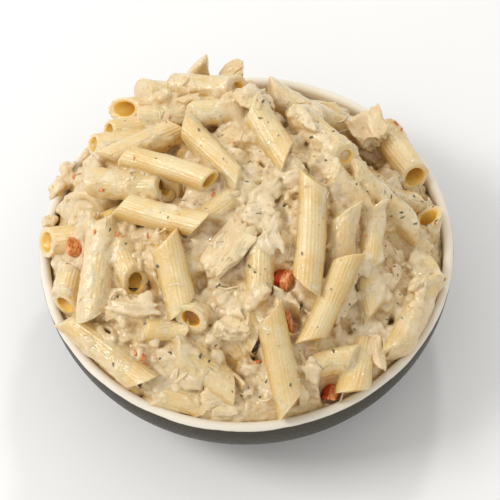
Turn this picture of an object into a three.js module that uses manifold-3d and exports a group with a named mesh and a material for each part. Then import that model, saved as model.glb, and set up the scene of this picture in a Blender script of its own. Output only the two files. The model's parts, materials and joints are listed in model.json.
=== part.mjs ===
// A bowl of chicken pasta salad: a glazed stoneware bowl, heaped above its rim with penne in a
// creamy dressing, chicken pieces and red pepper. Millimetres, +Z up, origin under the middle of
// the foot, -Y towards the eater.
import * as THREE from 'three'
import { mergeVertices } from 'three/addons/utils/BufferGeometryUtils.js'
import Module from 'manifold-3d'

const wasm = await Module()
wasm.setup()

// ---- Driving dimensions -------------------------------------------------------------------
const RIM_RADIUS = 88 // outside of the lip
const RIM_HEIGHT = 52 // top of the lip above the table
const WALL = 4.2 // thickness of the wall, and so of the rounded lip
const FOOT_RADIUS = 42
const FOOT_CHAMFER = 1
const CURVE_REACH = 54 // how far in from the lip the outer curve becomes level
const CURVE_LIFT = 5.2 // where that curve would bottom out, above the table
const CURVE_FULLNESS = 0.83 // 1 is a plain quarter ellipse, and less is squarer
const BOWL_SIDES = 48

const GAP = 0.3 // clearance between pieces that touch
const POCKET_GAP = 0.6 // how far a coarse pocket in the heap is grown past the chunk that lies in it
const FILL_GAP = 0.8 // clearance of the heap's faceted underside to the faceted inside of the bowl

const HEAP_SIDES = 28
const HEAP_RINGS = 6
const HEAP_RADIUS = RIM_RADIUS - WALL - FILL_GAP
const PEAK = new THREE.Vector2(-12, 30) // the heap is highest left of the middle and behind it
const PEAK_RISE = 40 // height of the peak above the rim
const PEAK_FULLNESS = 3 // a higher power gives a flatter top and steeper sides
const EDGE_DROP = 2 // the heap meets the wall this far below the rim, on average
const EDGE_TILT = 5 // and this much lower on one side, higher on the other
const EDGE_LOW_SIDE = THREE.MathUtils.degToRad(15)
const LUMP_HEIGHT = 1.3
const LUMP_LENGTH = 26

const PENNE_SIDES = 8
const BORE_SHARE = 0.62 // bore of a piece of penne, as a share of its width
const BORE_DEPTH = 7

// ---- The penne that show, each placed by the middle of its axis ------------------------------
// x, y, z of the middle; heading and pitch of the axis, spin of the slanted cuts about it, in
// degrees; length over the tips and width; slope of the cuts; which end shows its bore: -1 the
// start, 1 the far end, 0 neither.
const PENNE = [
  // left and back left
  [-35, 64, 63, 8, -10, 144, 45, 10, 1.25, -1],
  [-39, 48, 71, 0, 5, 150, 42, 9, 0.7, -1],
  [-46, 42, 70, 0, 5, 160, 42, 9, 0.7, -1],
  [-41, 29, 84, 20, 8, 90, 40, 11, 0.8, 0],
  [-29.5, 8.2, 96.5, -27, 7.5, -118, 42, 10, 0.4, 1],
  [-45.5, 6.8, 88, -14, 8, -19, 36, 11.5, 0.5, 1],
  [-34, -10, 90, -25, 10, -160, 45, 11, 0.8, 0],
  [-52, 13, 74, 20, 10, 120, 38, 12, 0.8, -1],
  [-70, -1, 61, 0, 8, 155, 38, 12, 0.8, -1],
  // over the top
  [-12, 16, 94, -54, 0, 90, 44, 10, 0.8, 0],
  [-22, 43, 86, 8, 0, 0, 42, 11, 0.8, 0],
  [-7, 38, 92, 0, 0, -30, 30, 10, 0.8, 0],
  [-17, 67, 68, 95, 65, 110, 36, 9, 0.9, 0],
  [-5, 66, 66, 60, 68, 25, 34, 10, 0.9, 0],
  [-13, 54, 88, 165, -10, -150, 34, 10, 0.6, -1],
  [12, 25, 93, -62, -8, 90, 38, 12.5, 0.8, 0],
  // left front
  [-60, -23, 76, -100, -22, 135, 50, 11.5, 0.8, -1],
  [-49, -21, 77, -71, -8, 25, 36, 11, 1.0, 1],
  [-29, -34, 85, -77, -25, 110, 36, 13, 0.6, 0],
  [-73.8, -25.6, 61.5, -108, -30, -20, 22, 11, 0.8, 1],
  [-58.3, -52.6, 59, -45, -1, -150, 51, 12, 0.8, 0],
  // front
  [-20.3, -43.8, 71.8, 75, -46, -21, 34, 12.5, 0.55, -1],
  [-34, -52, 72, -5, 5, 180, 22, 9, 0.6, 0],
  [-44.5, -41.5, 71, -8, -6, 170, 31, 11, 0.8, 0],
  [-19.6, -64.8, 63.6, -36, -22, 90, 38, 12, 0.8, 0],
  [-30, -72, 52.5, -18, -3, 180, 30, 11, 0.9, -1],
  [5, -34, 83, -97, -25, 90, 36, 11, 0.8, 0],
  [11, -67, 70, -78, -35, 75, 47, 12, 0.8, 1],
  [32, -66, 64, 12, -5, -70, 26, 10, 0.8, 0],
  [42, -64, 57, -104, 8, 150, 36, 13, 0.7, 0],
  // right
  [32, -45, 77, -118, -14, 105, 45, 11, 0.7, 0],
  [26, -20, 88, -97, -15, -120, 54, 12, 0.8, -1],
  [38, -21, 78, -100, -35, 90, 36, 12, 0.8, 0],
  [51, -17, 74, -98, -20, 90, 34, 10, 0.8, 0],
  [66, -44, 57, -118, 3, 90, 46, 11, 0.8, 0],
  [73, -19.5, 56, -20, 0, 90, 18, 9, 0.8, 0],
  [76, -3, 51, -100, -65, 120, 28, 11, 0.7, -1],
  [66, 10, 61, 0, -30, 90, 24, 9, 0.8, 0],
  // back right
  [44, 1, 82, -44, -32, 150, 36, 8.5, 0.8, 0],
  [57, 2, 74, -34, -32, 90, 44, 10, 0.8, 0],
  [34, 25, 89, -50, 0, -20, 34, 10, 0.6, 1],
  [68.5, 35, 59, -68, 0, 0, 32, 12.5, 0.4, 1],
  [24, 45, 82, -35, -12, 90, 34, 11, 0.8, 0],
  [39.5, 48.5, 65, 0, -38, 90, 34, 11, 0.8, 0],
  // half buried in the middle
  [-6, -4, 89, 42, 0, 60, 34, 11, 0.8, 0],
  [-20, -26, 82, 40, 0, -40, 30, 11, 0.8, 0],
  [-2, -50, 75, -60, -15, 100, 26, 10, 0.8, 0],
  [48, -34, 67, -80, -20, 80, 32, 11, 0.8, 0],
  // half buried down the back
  [-44, 50, 55, 120, -12, 60, 30, 11, 0.8, 0],
  [-36, 70, 50, 25, -4, 150, 34, 11, 0.8, 0],
  [-28, 74, 57, 170, 5, 40, 40, 11, 0.8, 0],
  [0, 67, 58, 30, -30, -60, 40, 11, 0.8, 0],
  [19.5, 64, 62, 100, -40, 90, 38, 11, 0.8, 0],
  [27, 66, 52, 165, 0, 60, 40, 11, 0.8, 0],
  [46, 52, 55, 130, 10, -90, 38, 11, 0.8, 0],
]

// ---- Chicken and pepper: x, y, z of the middle; size along, across and up; heading, pitch, roll
const CHICKEN = {
  chicken_back: [56, 44, 67.3, 13, 14.5, 12, -59, -20, 26],
  chicken_front: [-12, -75.5, 54.5, 16, 11, 10, 12, 0, 15],
  chicken_centre: [-8, -26.5, 87, 23, 14, 7, 52, 12, -10],
  chicken_lower: [-7, -55, 76.5, 13, 12, 9, 80, -20, 0],
  chicken_strip: [50, -61, 60, 13, 6, 5, -80, -10, 0],
}
const PEPPER = {
  pepper_centre: [14, -36, 79, 8, 6.5, 5, 70, -15, 0],
  pepper_lower: [15, -52, 73, 10, 3.5, 4, -80, -25, 0],
  pepper_front: [31, -73, 51, 7, 6, 4.5, 60, 0, 0],
  pepper_left: [-71, -9, 68, 7.5, 6, 4.5, 100, 0, 30],
}
const CHUNK_SQUARENESS = 0.6 // 1 is an ellipsoid, lower is nearer a box
const CHICKEN_DETAIL = 2
const PEPPER_DETAIL = 1

// ---- Finishes ---------------------------------------------------------------------------------
const GLAZE = new THREE.MeshStandardMaterial({ color: 0xe6dfd0, roughness: 0.25, metalness: 0 })
const DRESSED_PASTA = new THREE.MeshStandardMaterial({ color: 0xe8d3a4, roughness: 0.4, metalness: 0 })
const CHICKEN_MEAT = new THREE.MeshStandardMaterial({ color: 0xe2d0b2, roughness: 0.5, metalness: 0 })
const PEPPER_SKIN = new THREE.MeshStandardMaterial({ color: 0xb03414, roughness: 0.3, metalness: 0 })

// ---- Turning geometry into solids and back ------------------------------------------------------
function toSolid(geometry) {
  const bare = geometry.clone()
  bare.deleteAttribute('normal')
  bare.deleteAttribute('uv')
  const merged = mergeVertices(bare, 1e-4)
  const index = merged.index.array
  const triangles = []
  for (let i = 0; i < index.length; i += 3) {
    const [a, b, c] = [index[i], index[i + 1], index[i + 2]]
    if (a !== b && b !== c && c !== a) triangles.push(a, b, c)
  }
  const mesh = new wasm.Mesh({
    numProp: 3,
    vertProperties: new Float32Array(merged.attributes.position.array),
    triVerts: new Uint32Array(triangles),
  })
  return new wasm.Manifold(mesh)
}

function toGeometry(manifold) {
  const { vertProperties, triVerts, numProp } = manifold.getMesh()
  const positions = []
  for (let i = 0; i < vertProperties.length; i += numProp) {
    positions.push(vertProperties[i], vertProperties[i + 1], vertProperties[i + 2])
  }
  const geometry = new THREE.BufferGeometry()
  geometry.setAttribute('position', new THREE.Float32BufferAttribute(positions, 3))
  geometry.setIndex([...triVerts])
  geometry.computeVertexNormals()
  return geometry
}

// The largest of the separate bodies in a solid: closed pockets and specks are dropped.
function largestBody(manifold) {
  return manifold.decompose().reduce((best, body) => (body.volume() > best.volume() ? body : best))
}

// A profile of [radius, height] points turned about the Z axis.
function turned(profile, sides) {
  const points = profile.map(([radius, height]) => new THREE.Vector2(radius, height))
  return new THREE.LatheGeometry(points, sides).rotateX(Math.PI / 2)
}

// Part of an ellipse, squared off where the fullness is less than 1.
function arc(centre, reach, from, to, steps, fullness = 1) {
  const squared = (value) => Math.sign(value) * Math.abs(value) ** fullness
  return Array.from({ length: steps + 1 }, (_, i) => {
    const angle = THREE.MathUtils.degToRad(from + ((to - from) * i) / steps)
    return [centre[0] + reach[0] * squared(Math.cos(angle)), centre[1] + reach[1] * squared(Math.sin(angle))]
  })
}

// ---- Bowl -----------------------------------------------------------------------------------------
// A low bowl: its wall stays upright below the rounded lip, then curves in to a flat foot. Grown by
// `swell` it is the space that the food has to leave free.
function bowlGeometry(swell = 0) {
  const lipCentre = [RIM_RADIUS - WALL / 2, RIM_HEIGHT - WALL / 2]
  const lipReach = WALL / 2 + swell
  const curveCentre = [RIM_RADIUS - CURVE_REACH, lipCentre[1]]
  const curveDrop = lipCentre[1] - CURVE_LIFT
  const outer = [CURVE_REACH + swell, curveDrop + swell]
  const inner = [CURVE_REACH - WALL - swell, curveDrop - WALL - swell]
  const footShare = (FOOT_RADIUS - curveCentre[0]) / outer[0]
  const meetsFoot = -THREE.MathUtils.radToDeg(Math.acos(footShare ** (1 / CURVE_FULLNESS)))
  return turned(
    [
      [0, -swell],
      [FOOT_RADIUS - FOOT_CHAMFER, -swell],
      [FOOT_RADIUS, FOOT_CHAMFER - swell],
      ...arc(curveCentre, outer, meetsFoot, -3, 6, CURVE_FULLNESS),
      ...arc(lipCentre, [lipReach, lipReach], 0, 180, 4),
      ...arc(curveCentre, inner, -3, -90, 6, CURVE_FULLNESS),
      [0, curveCentre[1] - inner[1]],
    ],
    BOWL_SIDES,
  )
}

// ---- Heap -----------------------------------------------------------------------------------------
// Height of the dressed heap over a point: from the peak out to the wall along a straight line,
// with broad lumps on top.
function heapHeight(x, y) {
  const out = new THREE.Vector2(x, y).sub(PEAK)
  const distance = out.length()
  if (distance < 1e-6) return RIM_HEIGHT + PEAK_RISE
  out.divideScalar(distance)
  const along = PEAK.dot(out)
  const toWall = Math.sqrt(along * along + HEAP_RADIUS ** 2 - PEAK.lengthSq()) - along
  const share = Math.min(distance / toWall, 1)
  const wallPoint = PEAK.clone().addScaledVector(out, toWall)
  const edge = -EDGE_DROP - EDGE_TILT * Math.cos(wallPoint.angle() - EDGE_LOW_SIDE)
  const wave = (2 * Math.PI) / LUMP_LENGTH
  const lumps = Math.sin(wave * x + 1) * Math.cos(wave * y) + Math.sin(wave * 0.6 * (x + y))
  const fade = 1 - share ** 4
  return RIM_HEIGHT + edge + (PEAK_RISE - edge) * (1 - share ** PEAK_FULLNESS) + LUMP_HEIGHT * lumps * fade
}

// The dressing and everything buried in it, down to the inside of the bowl.
function heapCore() {
  const curveCentre = [RIM_RADIUS - CURVE_REACH, RIM_HEIGHT - WALL / 2]
  const reach = CURVE_REACH - WALL - FILL_GAP
  const depth = curveCentre[1] - CURVE_LIFT - WALL - FILL_GAP
  const base = arc(curveCentre, [reach, depth], -90, -8, 7, CURVE_FULLNESS)
  const top = Array.from({ length: HEAP_RINGS + 1 }, (_, i) => {
    return [HEAP_RADIUS * (1 - i / HEAP_RINGS), RIM_HEIGHT + 1 + i]
  })
  const geometry = turned([[0, base[0][1]], ...base, ...top], HEAP_SIDES)
  const position = geometry.attributes.position
  for (let i = 0; i < position.count; i++) {
    const [x, y, z] = [position.getX(i), position.getY(i), position.getZ(i)]
    if (z > RIM_HEIGHT) position.setZ(i, heapHeight(x, y))
  }
  return toSolid(geometry)
}

// The frame of a piece that lies along a heading and pitch: its axis, and the way its slanted
// cuts open, turned about the axis by the spin.
function pieceAxes(heading, pitch, spin) {
  const [h, p, s] = [heading, pitch, spin].map(THREE.MathUtils.degToRad)
  const axis = new THREE.Vector3(Math.cos(h) * Math.cos(p), Math.sin(h) * Math.cos(p), Math.sin(p))
  const up = new THREE.Vector3(-Math.cos(h) * Math.sin(p), -Math.sin(h) * Math.sin(p), Math.cos(p))
  const left = new THREE.Vector3().crossVectors(up, axis)
  const opening = up.multiplyScalar(Math.cos(s)).addScaledVector(left, Math.sin(s))
  return { axis, opening, side: new THREE.Vector3().crossVectors(opening, axis) }
}

// One piece of penne, its two ends cut on the slant and parallel to each other, with a blind bore
// in the end that shows one.
function penne([x, y, z, heading, pitch, spin, length, width, slope, open]) {
  const radius = width / 2
  const bore = radius * BORE_SHARE
  const end = length / 2 - slope * radius
  const floor = end - BORE_DEPTH
  const mouth = (side) => [[0, side * floor], [bore, side * floor], [bore, side * end]]
  const start = open === -1 ? mouth(-1) : [[0, -end]]
  const finish = open === 1 ? mouth(1).reverse() : [[0, end]]
  const points = [...start, [radius, -end], [radius, end], ...finish].map((p) => new THREE.Vector2(...p))
  const geometry = new THREE.LatheGeometry(points, PENNE_SIDES)
  const position = geometry.attributes.position
  for (let i = 0; i < position.count; i++) {
    const along = position.getY(i)
    if (Math.abs(along) > floor + 0.01) position.setY(i, along - slope * position.getX(i))
  }
  const { axis, opening, side } = pieceAxes(heading, pitch, spin)
  const place = new THREE.Matrix4().makeBasis(opening, axis, side).setPosition(x, y, z)
  return toSolid(geometry.applyMatrix4(place))
}

// A knife-cut chunk: a sphere drawn out towards a box, set in its place.
function chunkGeometry([x, y, z, along, across, up, heading, pitch, roll], detail, swell = 0) {
  const geometry = new THREE.IcosahedronGeometry(1, detail)
  const position = geometry.attributes.position
  const point = new THREE.Vector3()
  const half = new THREE.Vector3(along / 2 + swell, across / 2 + swell, up / 2 + swell)
  const squared = (value) => Math.sign(value) * Math.abs(value) ** CHUNK_SQUARENESS
  for (let i = 0; i < position.count; i++) {
    point.fromBufferAttribute(position, i)
    const boxed = new THREE.Vector3(squared(point.x), squared(point.y), squared(point.z))
    boxed.divideScalar(Math.max(boxed.length() * 0.82, 1)).multiply(half)
    position.setXYZ(i, boxed.x, boxed.y, boxed.z)
  }
  const [h, p, r] = [heading, pitch, roll].map(THREE.MathUtils.degToRad)
  const turn = new THREE.Euler(r, -p, h, 'ZYX')
  geometry.applyMatrix4(new THREE.Matrix4().makeRotationFromEuler(turn).setPosition(x, y, z))
  return geometry
}

function saladSolid() {
  let heap = heapCore()
  for (const piece of PENNE) heap = heap.add(penne(piece))
  for (const chunk of Object.values({ ...CHICKEN, ...PEPPER })) {
    heap = heap.subtract(toSolid(chunkGeometry(chunk, PEPPER_DETAIL, POCKET_GAP)))
  }
  return largestBody(heap.subtract(toSolid(bowlGeometry(GAP))))
}

// ---- Assembly ---------------------------------------------------------------------------------------
const group = new THREE.Group()

function addPiece(name, geometry, material) {
  const mesh = new THREE.Mesh(geometry, material)
  mesh.name = name
  group.add(mesh)
}

addPiece('bowl', toGeometry(toSolid(bowlGeometry())), GLAZE)
addPiece('salad', toGeometry(saladSolid()), DRESSED_PASTA)
for (const [name, chunk] of Object.entries(CHICKEN)) {
  addPiece(name, toGeometry(toSolid(chunkGeometry(chunk, CHICKEN_DETAIL))), CHICKEN_MEAT)
}
for (const [name, chunk] of Object.entries(PEPPER)) {
  addPiece(name, toGeometry(toSolid(chunkGeometry(chunk, PEPPER_DETAIL))), PEPPER_SKIN)
}

export default group
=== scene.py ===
# %% [markdown]
# # A bowl of chicken pasta salad
#
# The salad is cooked penne, pulled and diced chicken and a little red pepper, turned in a thick
# creamy dressing with dried herbs, and heaped well above the rim of a low stoneware bowl.
#
# The construction model gives the frame: the real size, the bowl, and one solid for the heap with
# each pasta tube that shows. This lesson makes what the eye sees around that frame. It works in
# millimetres, and each finished mesh is scaled to metres at the end, with its object at the origin.

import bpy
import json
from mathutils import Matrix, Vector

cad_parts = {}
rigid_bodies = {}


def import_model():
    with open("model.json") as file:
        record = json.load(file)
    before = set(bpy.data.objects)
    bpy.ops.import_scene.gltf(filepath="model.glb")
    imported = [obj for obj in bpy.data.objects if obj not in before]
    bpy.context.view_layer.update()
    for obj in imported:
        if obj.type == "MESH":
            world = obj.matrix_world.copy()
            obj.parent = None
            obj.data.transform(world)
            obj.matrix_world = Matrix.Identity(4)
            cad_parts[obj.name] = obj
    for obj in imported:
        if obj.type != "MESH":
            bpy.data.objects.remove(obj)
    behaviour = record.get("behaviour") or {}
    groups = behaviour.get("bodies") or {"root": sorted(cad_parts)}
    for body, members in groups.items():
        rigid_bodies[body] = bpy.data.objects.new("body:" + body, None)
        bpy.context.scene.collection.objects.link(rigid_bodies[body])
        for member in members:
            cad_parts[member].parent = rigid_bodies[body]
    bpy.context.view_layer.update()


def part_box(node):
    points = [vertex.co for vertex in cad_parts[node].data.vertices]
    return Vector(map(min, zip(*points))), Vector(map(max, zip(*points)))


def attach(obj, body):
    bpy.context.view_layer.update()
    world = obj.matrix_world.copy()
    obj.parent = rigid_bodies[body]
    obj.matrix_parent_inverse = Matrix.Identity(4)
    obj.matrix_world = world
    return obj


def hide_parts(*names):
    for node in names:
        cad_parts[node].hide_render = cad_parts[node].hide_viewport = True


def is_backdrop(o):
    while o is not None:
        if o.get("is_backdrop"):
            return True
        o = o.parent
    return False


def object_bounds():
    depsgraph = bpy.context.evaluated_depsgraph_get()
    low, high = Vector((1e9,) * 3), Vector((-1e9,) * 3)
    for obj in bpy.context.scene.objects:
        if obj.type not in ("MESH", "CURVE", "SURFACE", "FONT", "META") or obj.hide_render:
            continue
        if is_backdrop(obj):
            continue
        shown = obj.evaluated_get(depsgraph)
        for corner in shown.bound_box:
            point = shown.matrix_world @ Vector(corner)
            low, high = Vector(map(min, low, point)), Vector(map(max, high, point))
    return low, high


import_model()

# %% Libraries and the sizes that the frame gives
import json
import math
import random

import bmesh
import bpy
from mathutils import Euler, Matrix, Vector, noise
from mathutils.bvhtree import BVHTree

MM = 0.001
NOISE_SEED = 5
noise.seed_set(NOISE_SEED)
BOWL_LOW, BOWL_HIGH = [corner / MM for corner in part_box("bowl")]
RIM_RADIUS = (BOWL_HIGH.x - BOWL_LOW.x) / 2
RIM_HEIGHT = BOWL_HIGH.z
scene = bpy.context.scene
print(f"bowl {2 * RIM_RADIUS:.0f} mm across, {RIM_HEIGHT:.0f} mm tall")

# %% [markdown]
# ## The view
#
# The bowl is seen from the eater's side, from well above, as by someone who stands at the table.
# A long lens far away keeps the rim a clean ellipse. The camera is turned a few degrees about its
# own line of sight, as one that is held by hand would be.

# %% Camera
VIEW_HEIGHT = math.radians(58.838)
VIEW_TURN = math.radians(-2.965)
VIEW_DISTANCE = 600
VIEW_AIM = Vector((1.506, -5.344, RIM_HEIGHT))
LENS = 102.07

forward = Vector((0, math.cos(VIEW_HEIGHT), -math.sin(VIEW_HEIGHT)))
upward = Vector((0, math.sin(VIEW_HEIGHT), math.cos(VIEW_HEIGHT)))
right = Matrix.Rotation(-VIEW_TURN, 3, forward) @ Vector((1, 0, 0))
upward = Matrix.Rotation(-VIEW_TURN, 3, forward) @ upward
camera = bpy.data.objects.new("camera", bpy.data.cameras.new("camera"))
camera.data.lens = LENS
camera.data.sensor_width = 36
axes = Matrix((right, upward, -forward)).transposed().to_4x4()
camera.matrix_world = Matrix.Translation((VIEW_AIM - forward * VIEW_DISTANCE) * MM) @ axes
scene.collection.objects.link(camera)
scene.camera = camera
print("camera at", [round(v, 3) for v in camera.matrix_world.translation])

# %% [markdown]
# ## The studio
#
# Food is lit softly, so that it looks fresh and not greasy. A large square lamp stands to the
# left, a smaller one behind gives the wet glints, and a pale sky fills the shadows. The floor is
# a plain pale sheet.


# %% Floor, lamps and sky
def add_lamp(name, place, aim, size, power, colour):
    lamp = bpy.data.objects.new(name, bpy.data.lights.new(name, "AREA"))
    lamp.data.size = size
    lamp.data.energy = power
    lamp.data.color = colour
    lamp.location = place
    lamp.rotation_euler = (Vector(aim) - Vector(place)).to_track_quat("-Z", "Y").to_euler()
    scene.collection.objects.link(lamp)


SALAD_MIDDLE = (0, 0, 0.06)
add_lamp("key", (-0.72, -0.06, 0.88), SALAD_MIDDLE, 0.38, 5.2, (1.0, 0.98, 0.95))
add_lamp("back", (0.20, 0.75, 0.80), SALAD_MIDDLE, 0.10, 1.8, (1.0, 0.99, 0.97))

sky = bpy.data.worlds.new("sky")
sky.use_nodes = True
sky.node_tree.nodes["Background"].inputs["Color"].default_value = (1.0, 0.985, 0.96, 1)
sky.node_tree.nodes["Background"].inputs["Strength"].default_value = 0.70
scene.world = sky
scene.view_settings.view_transform = "Standard"

bm = bmesh.new()
bmesh.ops.create_grid(bm, x_segments=1, y_segments=1, size=1.5)
mesh = bpy.data.meshes.new("floor")
bm.to_mesh(mesh)
bm.free()
floor = bpy.data.objects.new("floor", mesh)
scene.collection.objects.link(floor)
floor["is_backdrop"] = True
print("studio: 2 lamps, sky, floor")

# %% [markdown]
# ## How a finish is made
#
# Each finish is one Principled shader with its colour, roughness and relief driven by noise that
# is fixed in the object, so that no two places look quite alike. A few short helpers keep the
# node trees readable: one starts a finish, one adds a noise, and others mix colours and stretch
# a value between two ends.


# %% Helpers for the nodes
def start_finish(name, **sockets):
    """A new material, with these sockets of its Principled shader set."""
    finish = bpy.data.materials.new(name)
    finish.use_nodes = True
    for name, value in sockets.items():
        set_socket(finish, name.replace("_", " "), value)
    return finish


def set_socket(finish, name, value):
    """Sets or links a socket of the finish's shader."""
    plug(finish, finish.node_tree.nodes["Principled BSDF"].inputs[name], value)


def plug(finish, socket, value):
    """Sets a socket to a number or a colour, or links a node's output to it."""
    if isinstance(value, bpy.types.NodeSocket):
        finish.node_tree.links.new(value, socket)
    elif socket.type == "RGBA":
        socket.default_value = (*value, 1)
    else:
        socket.default_value = value


def add_node(finish, kind, **inputs):
    """A node of a finish, with its inputs plugged."""
    node = finish.node_tree.nodes.new("ShaderNode" + kind)
    for name, value in inputs.items():
        plug(finish, node.inputs[name.replace("_", " ")], value)
    return node


# %% Helpers for the patterns
def add_noise(finish, scale, detail=3.0, rough=0.55, stretch=None):
    """Noise on the object's own coordinates. scale is in waves a metre."""
    place = add_node(finish, "TexCoord").outputs["Object"]
    if stretch is not None:
        place = add_node(finish, "Mapping", Vector=place, Scale=stretch).outputs["Vector"]
    cloud = add_node(finish, "TexNoise", Vector=place, Scale=scale, Detail=detail, Roughness=rough)
    return cloud.outputs["Fac"]


def stretch_value(finish, value, low, high, to_low=0.0, to_high=1.0):
    """Maps low..high onto to_low..to_high, held at the ends."""
    ends = {"From_Min": low, "From_Max": high, "To_Min": to_low, "To_Max": to_high}
    ramp = add_node(finish, "MapRange", Value=value, **ends)
    ramp.interpolation_type = "SMOOTHSTEP"
    return ramp.outputs["Result"]


def mix_colours(finish, share, first, second):
    """share 0 gives the first colour, 1 the second. Each is a colour or a node's output."""
    mix = add_node(finish, "Mix", Factor=share)
    mix.data_type = "RGBA"
    plug(finish, mix.inputs[6], first)
    plug(finish, mix.inputs[7], second)
    return mix.outputs[2]


def lay_over(finish, tone, colour, value, low, high, most=1.0):
    """Lays a colour over a tone, more of it as the value goes from low to high, up to the most."""
    return mix_colours(finish, stretch_value(finish, value, low, high, 0, most), tone, colour)


def calculate(finish, operation, first, second):
    """Adds, multiplies or otherwise joins two values."""
    sum_node = add_node(finish, "Math")
    sum_node.operation = operation
    plug(finish, sum_node.inputs[0], first)
    plug(finish, sum_node.inputs[1], second)
    return sum_node.outputs["Value"]


def read_attribute(finish, name):
    """A value that the mesh holds at each point."""
    attribute = add_node(finish, "Attribute")
    attribute.attribute_name = name
    return attribute.outputs["Fac"]


# %% Helpers for the surface
def stack_bumps(finish, layers):
    """Bumps one on another, each with its height in metres."""
    normal = None
    for value, height in layers:
        bump = add_node(finish, "Bump", Strength=1.0, Distance=height, Height=value)
        if normal is not None:
            plug(finish, bump.inputs["Normal"], normal)
        normal = bump.outputs["Normal"]
    return normal


def end_finish(finish, tone, rough, relief, wet=()):
    """
    Gives the shader its colour, its roughness from one noise as (noise, smoothest, roughest), its
    relief, and the finer ripple of the wet film on top, which breaks up its glints.
    """
    cloud, smoothest, roughest = rough
    set_socket(finish, "Base Color", tone)
    set_socket(finish, "Roughness", stretch_value(finish, cloud, 0.3, 0.7, smoothest, roughest))
    set_socket(finish, "Normal", stack_bumps(finish, relief))
    if wet:
        set_socket(finish, "Coat Normal", stack_bumps(finish, wet))
    print("finish:", finish.name)


# %% [markdown]
# ## The floor's finish
#
# A matt pale sheet with the faintest cloudiness, so that it doesn't look like a void.

# %% Floor finish
finish = start_finish("pale_sheet", Roughness=0.8)
tone = mix_colours(finish, add_noise(finish, 6), (0.90, 0.90, 0.90), (0.94, 0.94, 0.94))
set_socket(finish, "Base Color", tone)
floor.data.materials.append(finish)
print("finish:", finish.name)

# %% [markdown]
# ## Finishing a piece
#
# Every piece is shaped in millimetres as a bmesh. This helper turns it into a smooth-shaded object in metres
# at the origin, gives it its finish, hangs it on the root body, and hides the construction solids that it
# stands for.


# %% Helpers for the pieces
def squared(value, power):
    return math.copysign(abs(value) ** power, value)


def stretched(spot, sizes):
    """A vector with each of its parts multiplied by a size of its own."""
    return Vector([part * size for part, size in zip(spot, sizes)])


def arc(centre, reach, start, end, steps, fullness=1.0):
    """Points along part of an ellipse, in degrees. It is squared off where the fullness is below 1."""
    points = []
    for step in range(steps + 1):
        angle = math.radians(start + (end - start) * step / steps)
        out, up = squared(math.cos(angle), fullness), squared(math.sin(angle), fullness)
        points.append((centre[0] + reach[0] * out, centre[1] + reach[1] * up))
    return points


def finish_piece(name, bm, finish, replaces=()):
    bmesh.ops.scale(bm, vec=(MM, MM, MM), verts=bm.verts)
    mesh = bpy.data.meshes.new(name)
    bm.to_mesh(mesh)
    bm.free()
    mesh.shade_smooth()
    mesh.materials.append(finish)
    piece = bpy.data.objects.new(name, mesh)
    scene.collection.objects.link(piece)
    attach(piece, "root")
    if replaces:
        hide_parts(*replaces)
    triangles = sum(len(face.vertices) - 2 for face in mesh.polygons)
    print(f"{name}: {triangles} triangles")
    return piece


def spin_profile(bm, profile, steps, closed=False):
    """Turns a profile of (radius, height) points about the Z axis into a closed skin."""
    verts = [bm.verts.new((radius, 0, height)) for radius, height in profile]
    edges = [bm.edges.new(pair) for pair in zip(verts, verts[1:] + verts[:1] if closed else verts[1:])]
    bmesh.ops.spin(
        bm,
        geom=verts + edges,
        cent=(0, 0, 0),
        axis=(0, 0, 1),
        angle=math.tau,
        steps=steps,
        use_merge=True,
    )
    bmesh.ops.remove_doubles(bm, verts=bm.verts, dist=0.001)
    bmesh.ops.recalc_face_normals(bm, faces=bm.faces)


# %% [markdown]
# ## The bowl
#
# A thrown stoneware bowl is a body of revolution, so a profile spun about the axis is the whole
# shape: a flat foot, a full curve up to an upright wall, a rounded lip and the inside. The
# foot has the shallow hollow that a potter turns under it. Inside and over the lip the glaze is
# cream. Outside it is a warm dark grey, which stops in a slightly uneven line under the lip.

# %% Bowl shape
WALL = 4.2
FOOT_RADIUS = 42
FOOT_HOLLOW = 1.2
CURVE_REACH = 54
CURVE_LIFT = 5.2
CURVE_FULLNESS = 0.83
BOWL_STEPS = 160

lip_centre = (RIM_RADIUS - WALL / 2, RIM_HEIGHT - WALL / 2)
curve_centre = (RIM_RADIUS - CURVE_REACH, lip_centre[1])
curve_drop = lip_centre[1] - CURVE_LIFT
foot_share = (FOOT_RADIUS - curve_centre[0]) / CURVE_REACH
meets_foot = -math.degrees(math.acos(foot_share ** (1 / CURVE_FULLNESS)))
profile = [
    (0, FOOT_HOLLOW),
    (FOOT_RADIUS - 8, FOOT_HOLLOW),
    (FOOT_RADIUS - 6.5, FOOT_HOLLOW * 0.7),
    (FOOT_RADIUS - 5.5, 0.1),
    (FOOT_RADIUS - 4.5, 0),
    (FOOT_RADIUS - 1.2, 0),
    (FOOT_RADIUS - 0.3, 0.3),
    (FOOT_RADIUS, 1.2),
    *arc(curve_centre, (CURVE_REACH, curve_drop), meets_foot, -0.5, 44, CURVE_FULLNESS),
    *arc(lip_centre, (WALL / 2, WALL / 2), 0, 180, 14),
    *arc(curve_centre, (CURVE_REACH - WALL, curve_drop - WALL), -0.5, -90, 44, CURVE_FULLNESS),
    (0, curve_centre[1] - curve_drop + WALL),
]
bowl = bmesh.new()
spin_profile(bowl, profile, BOWL_STEPS)

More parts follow.
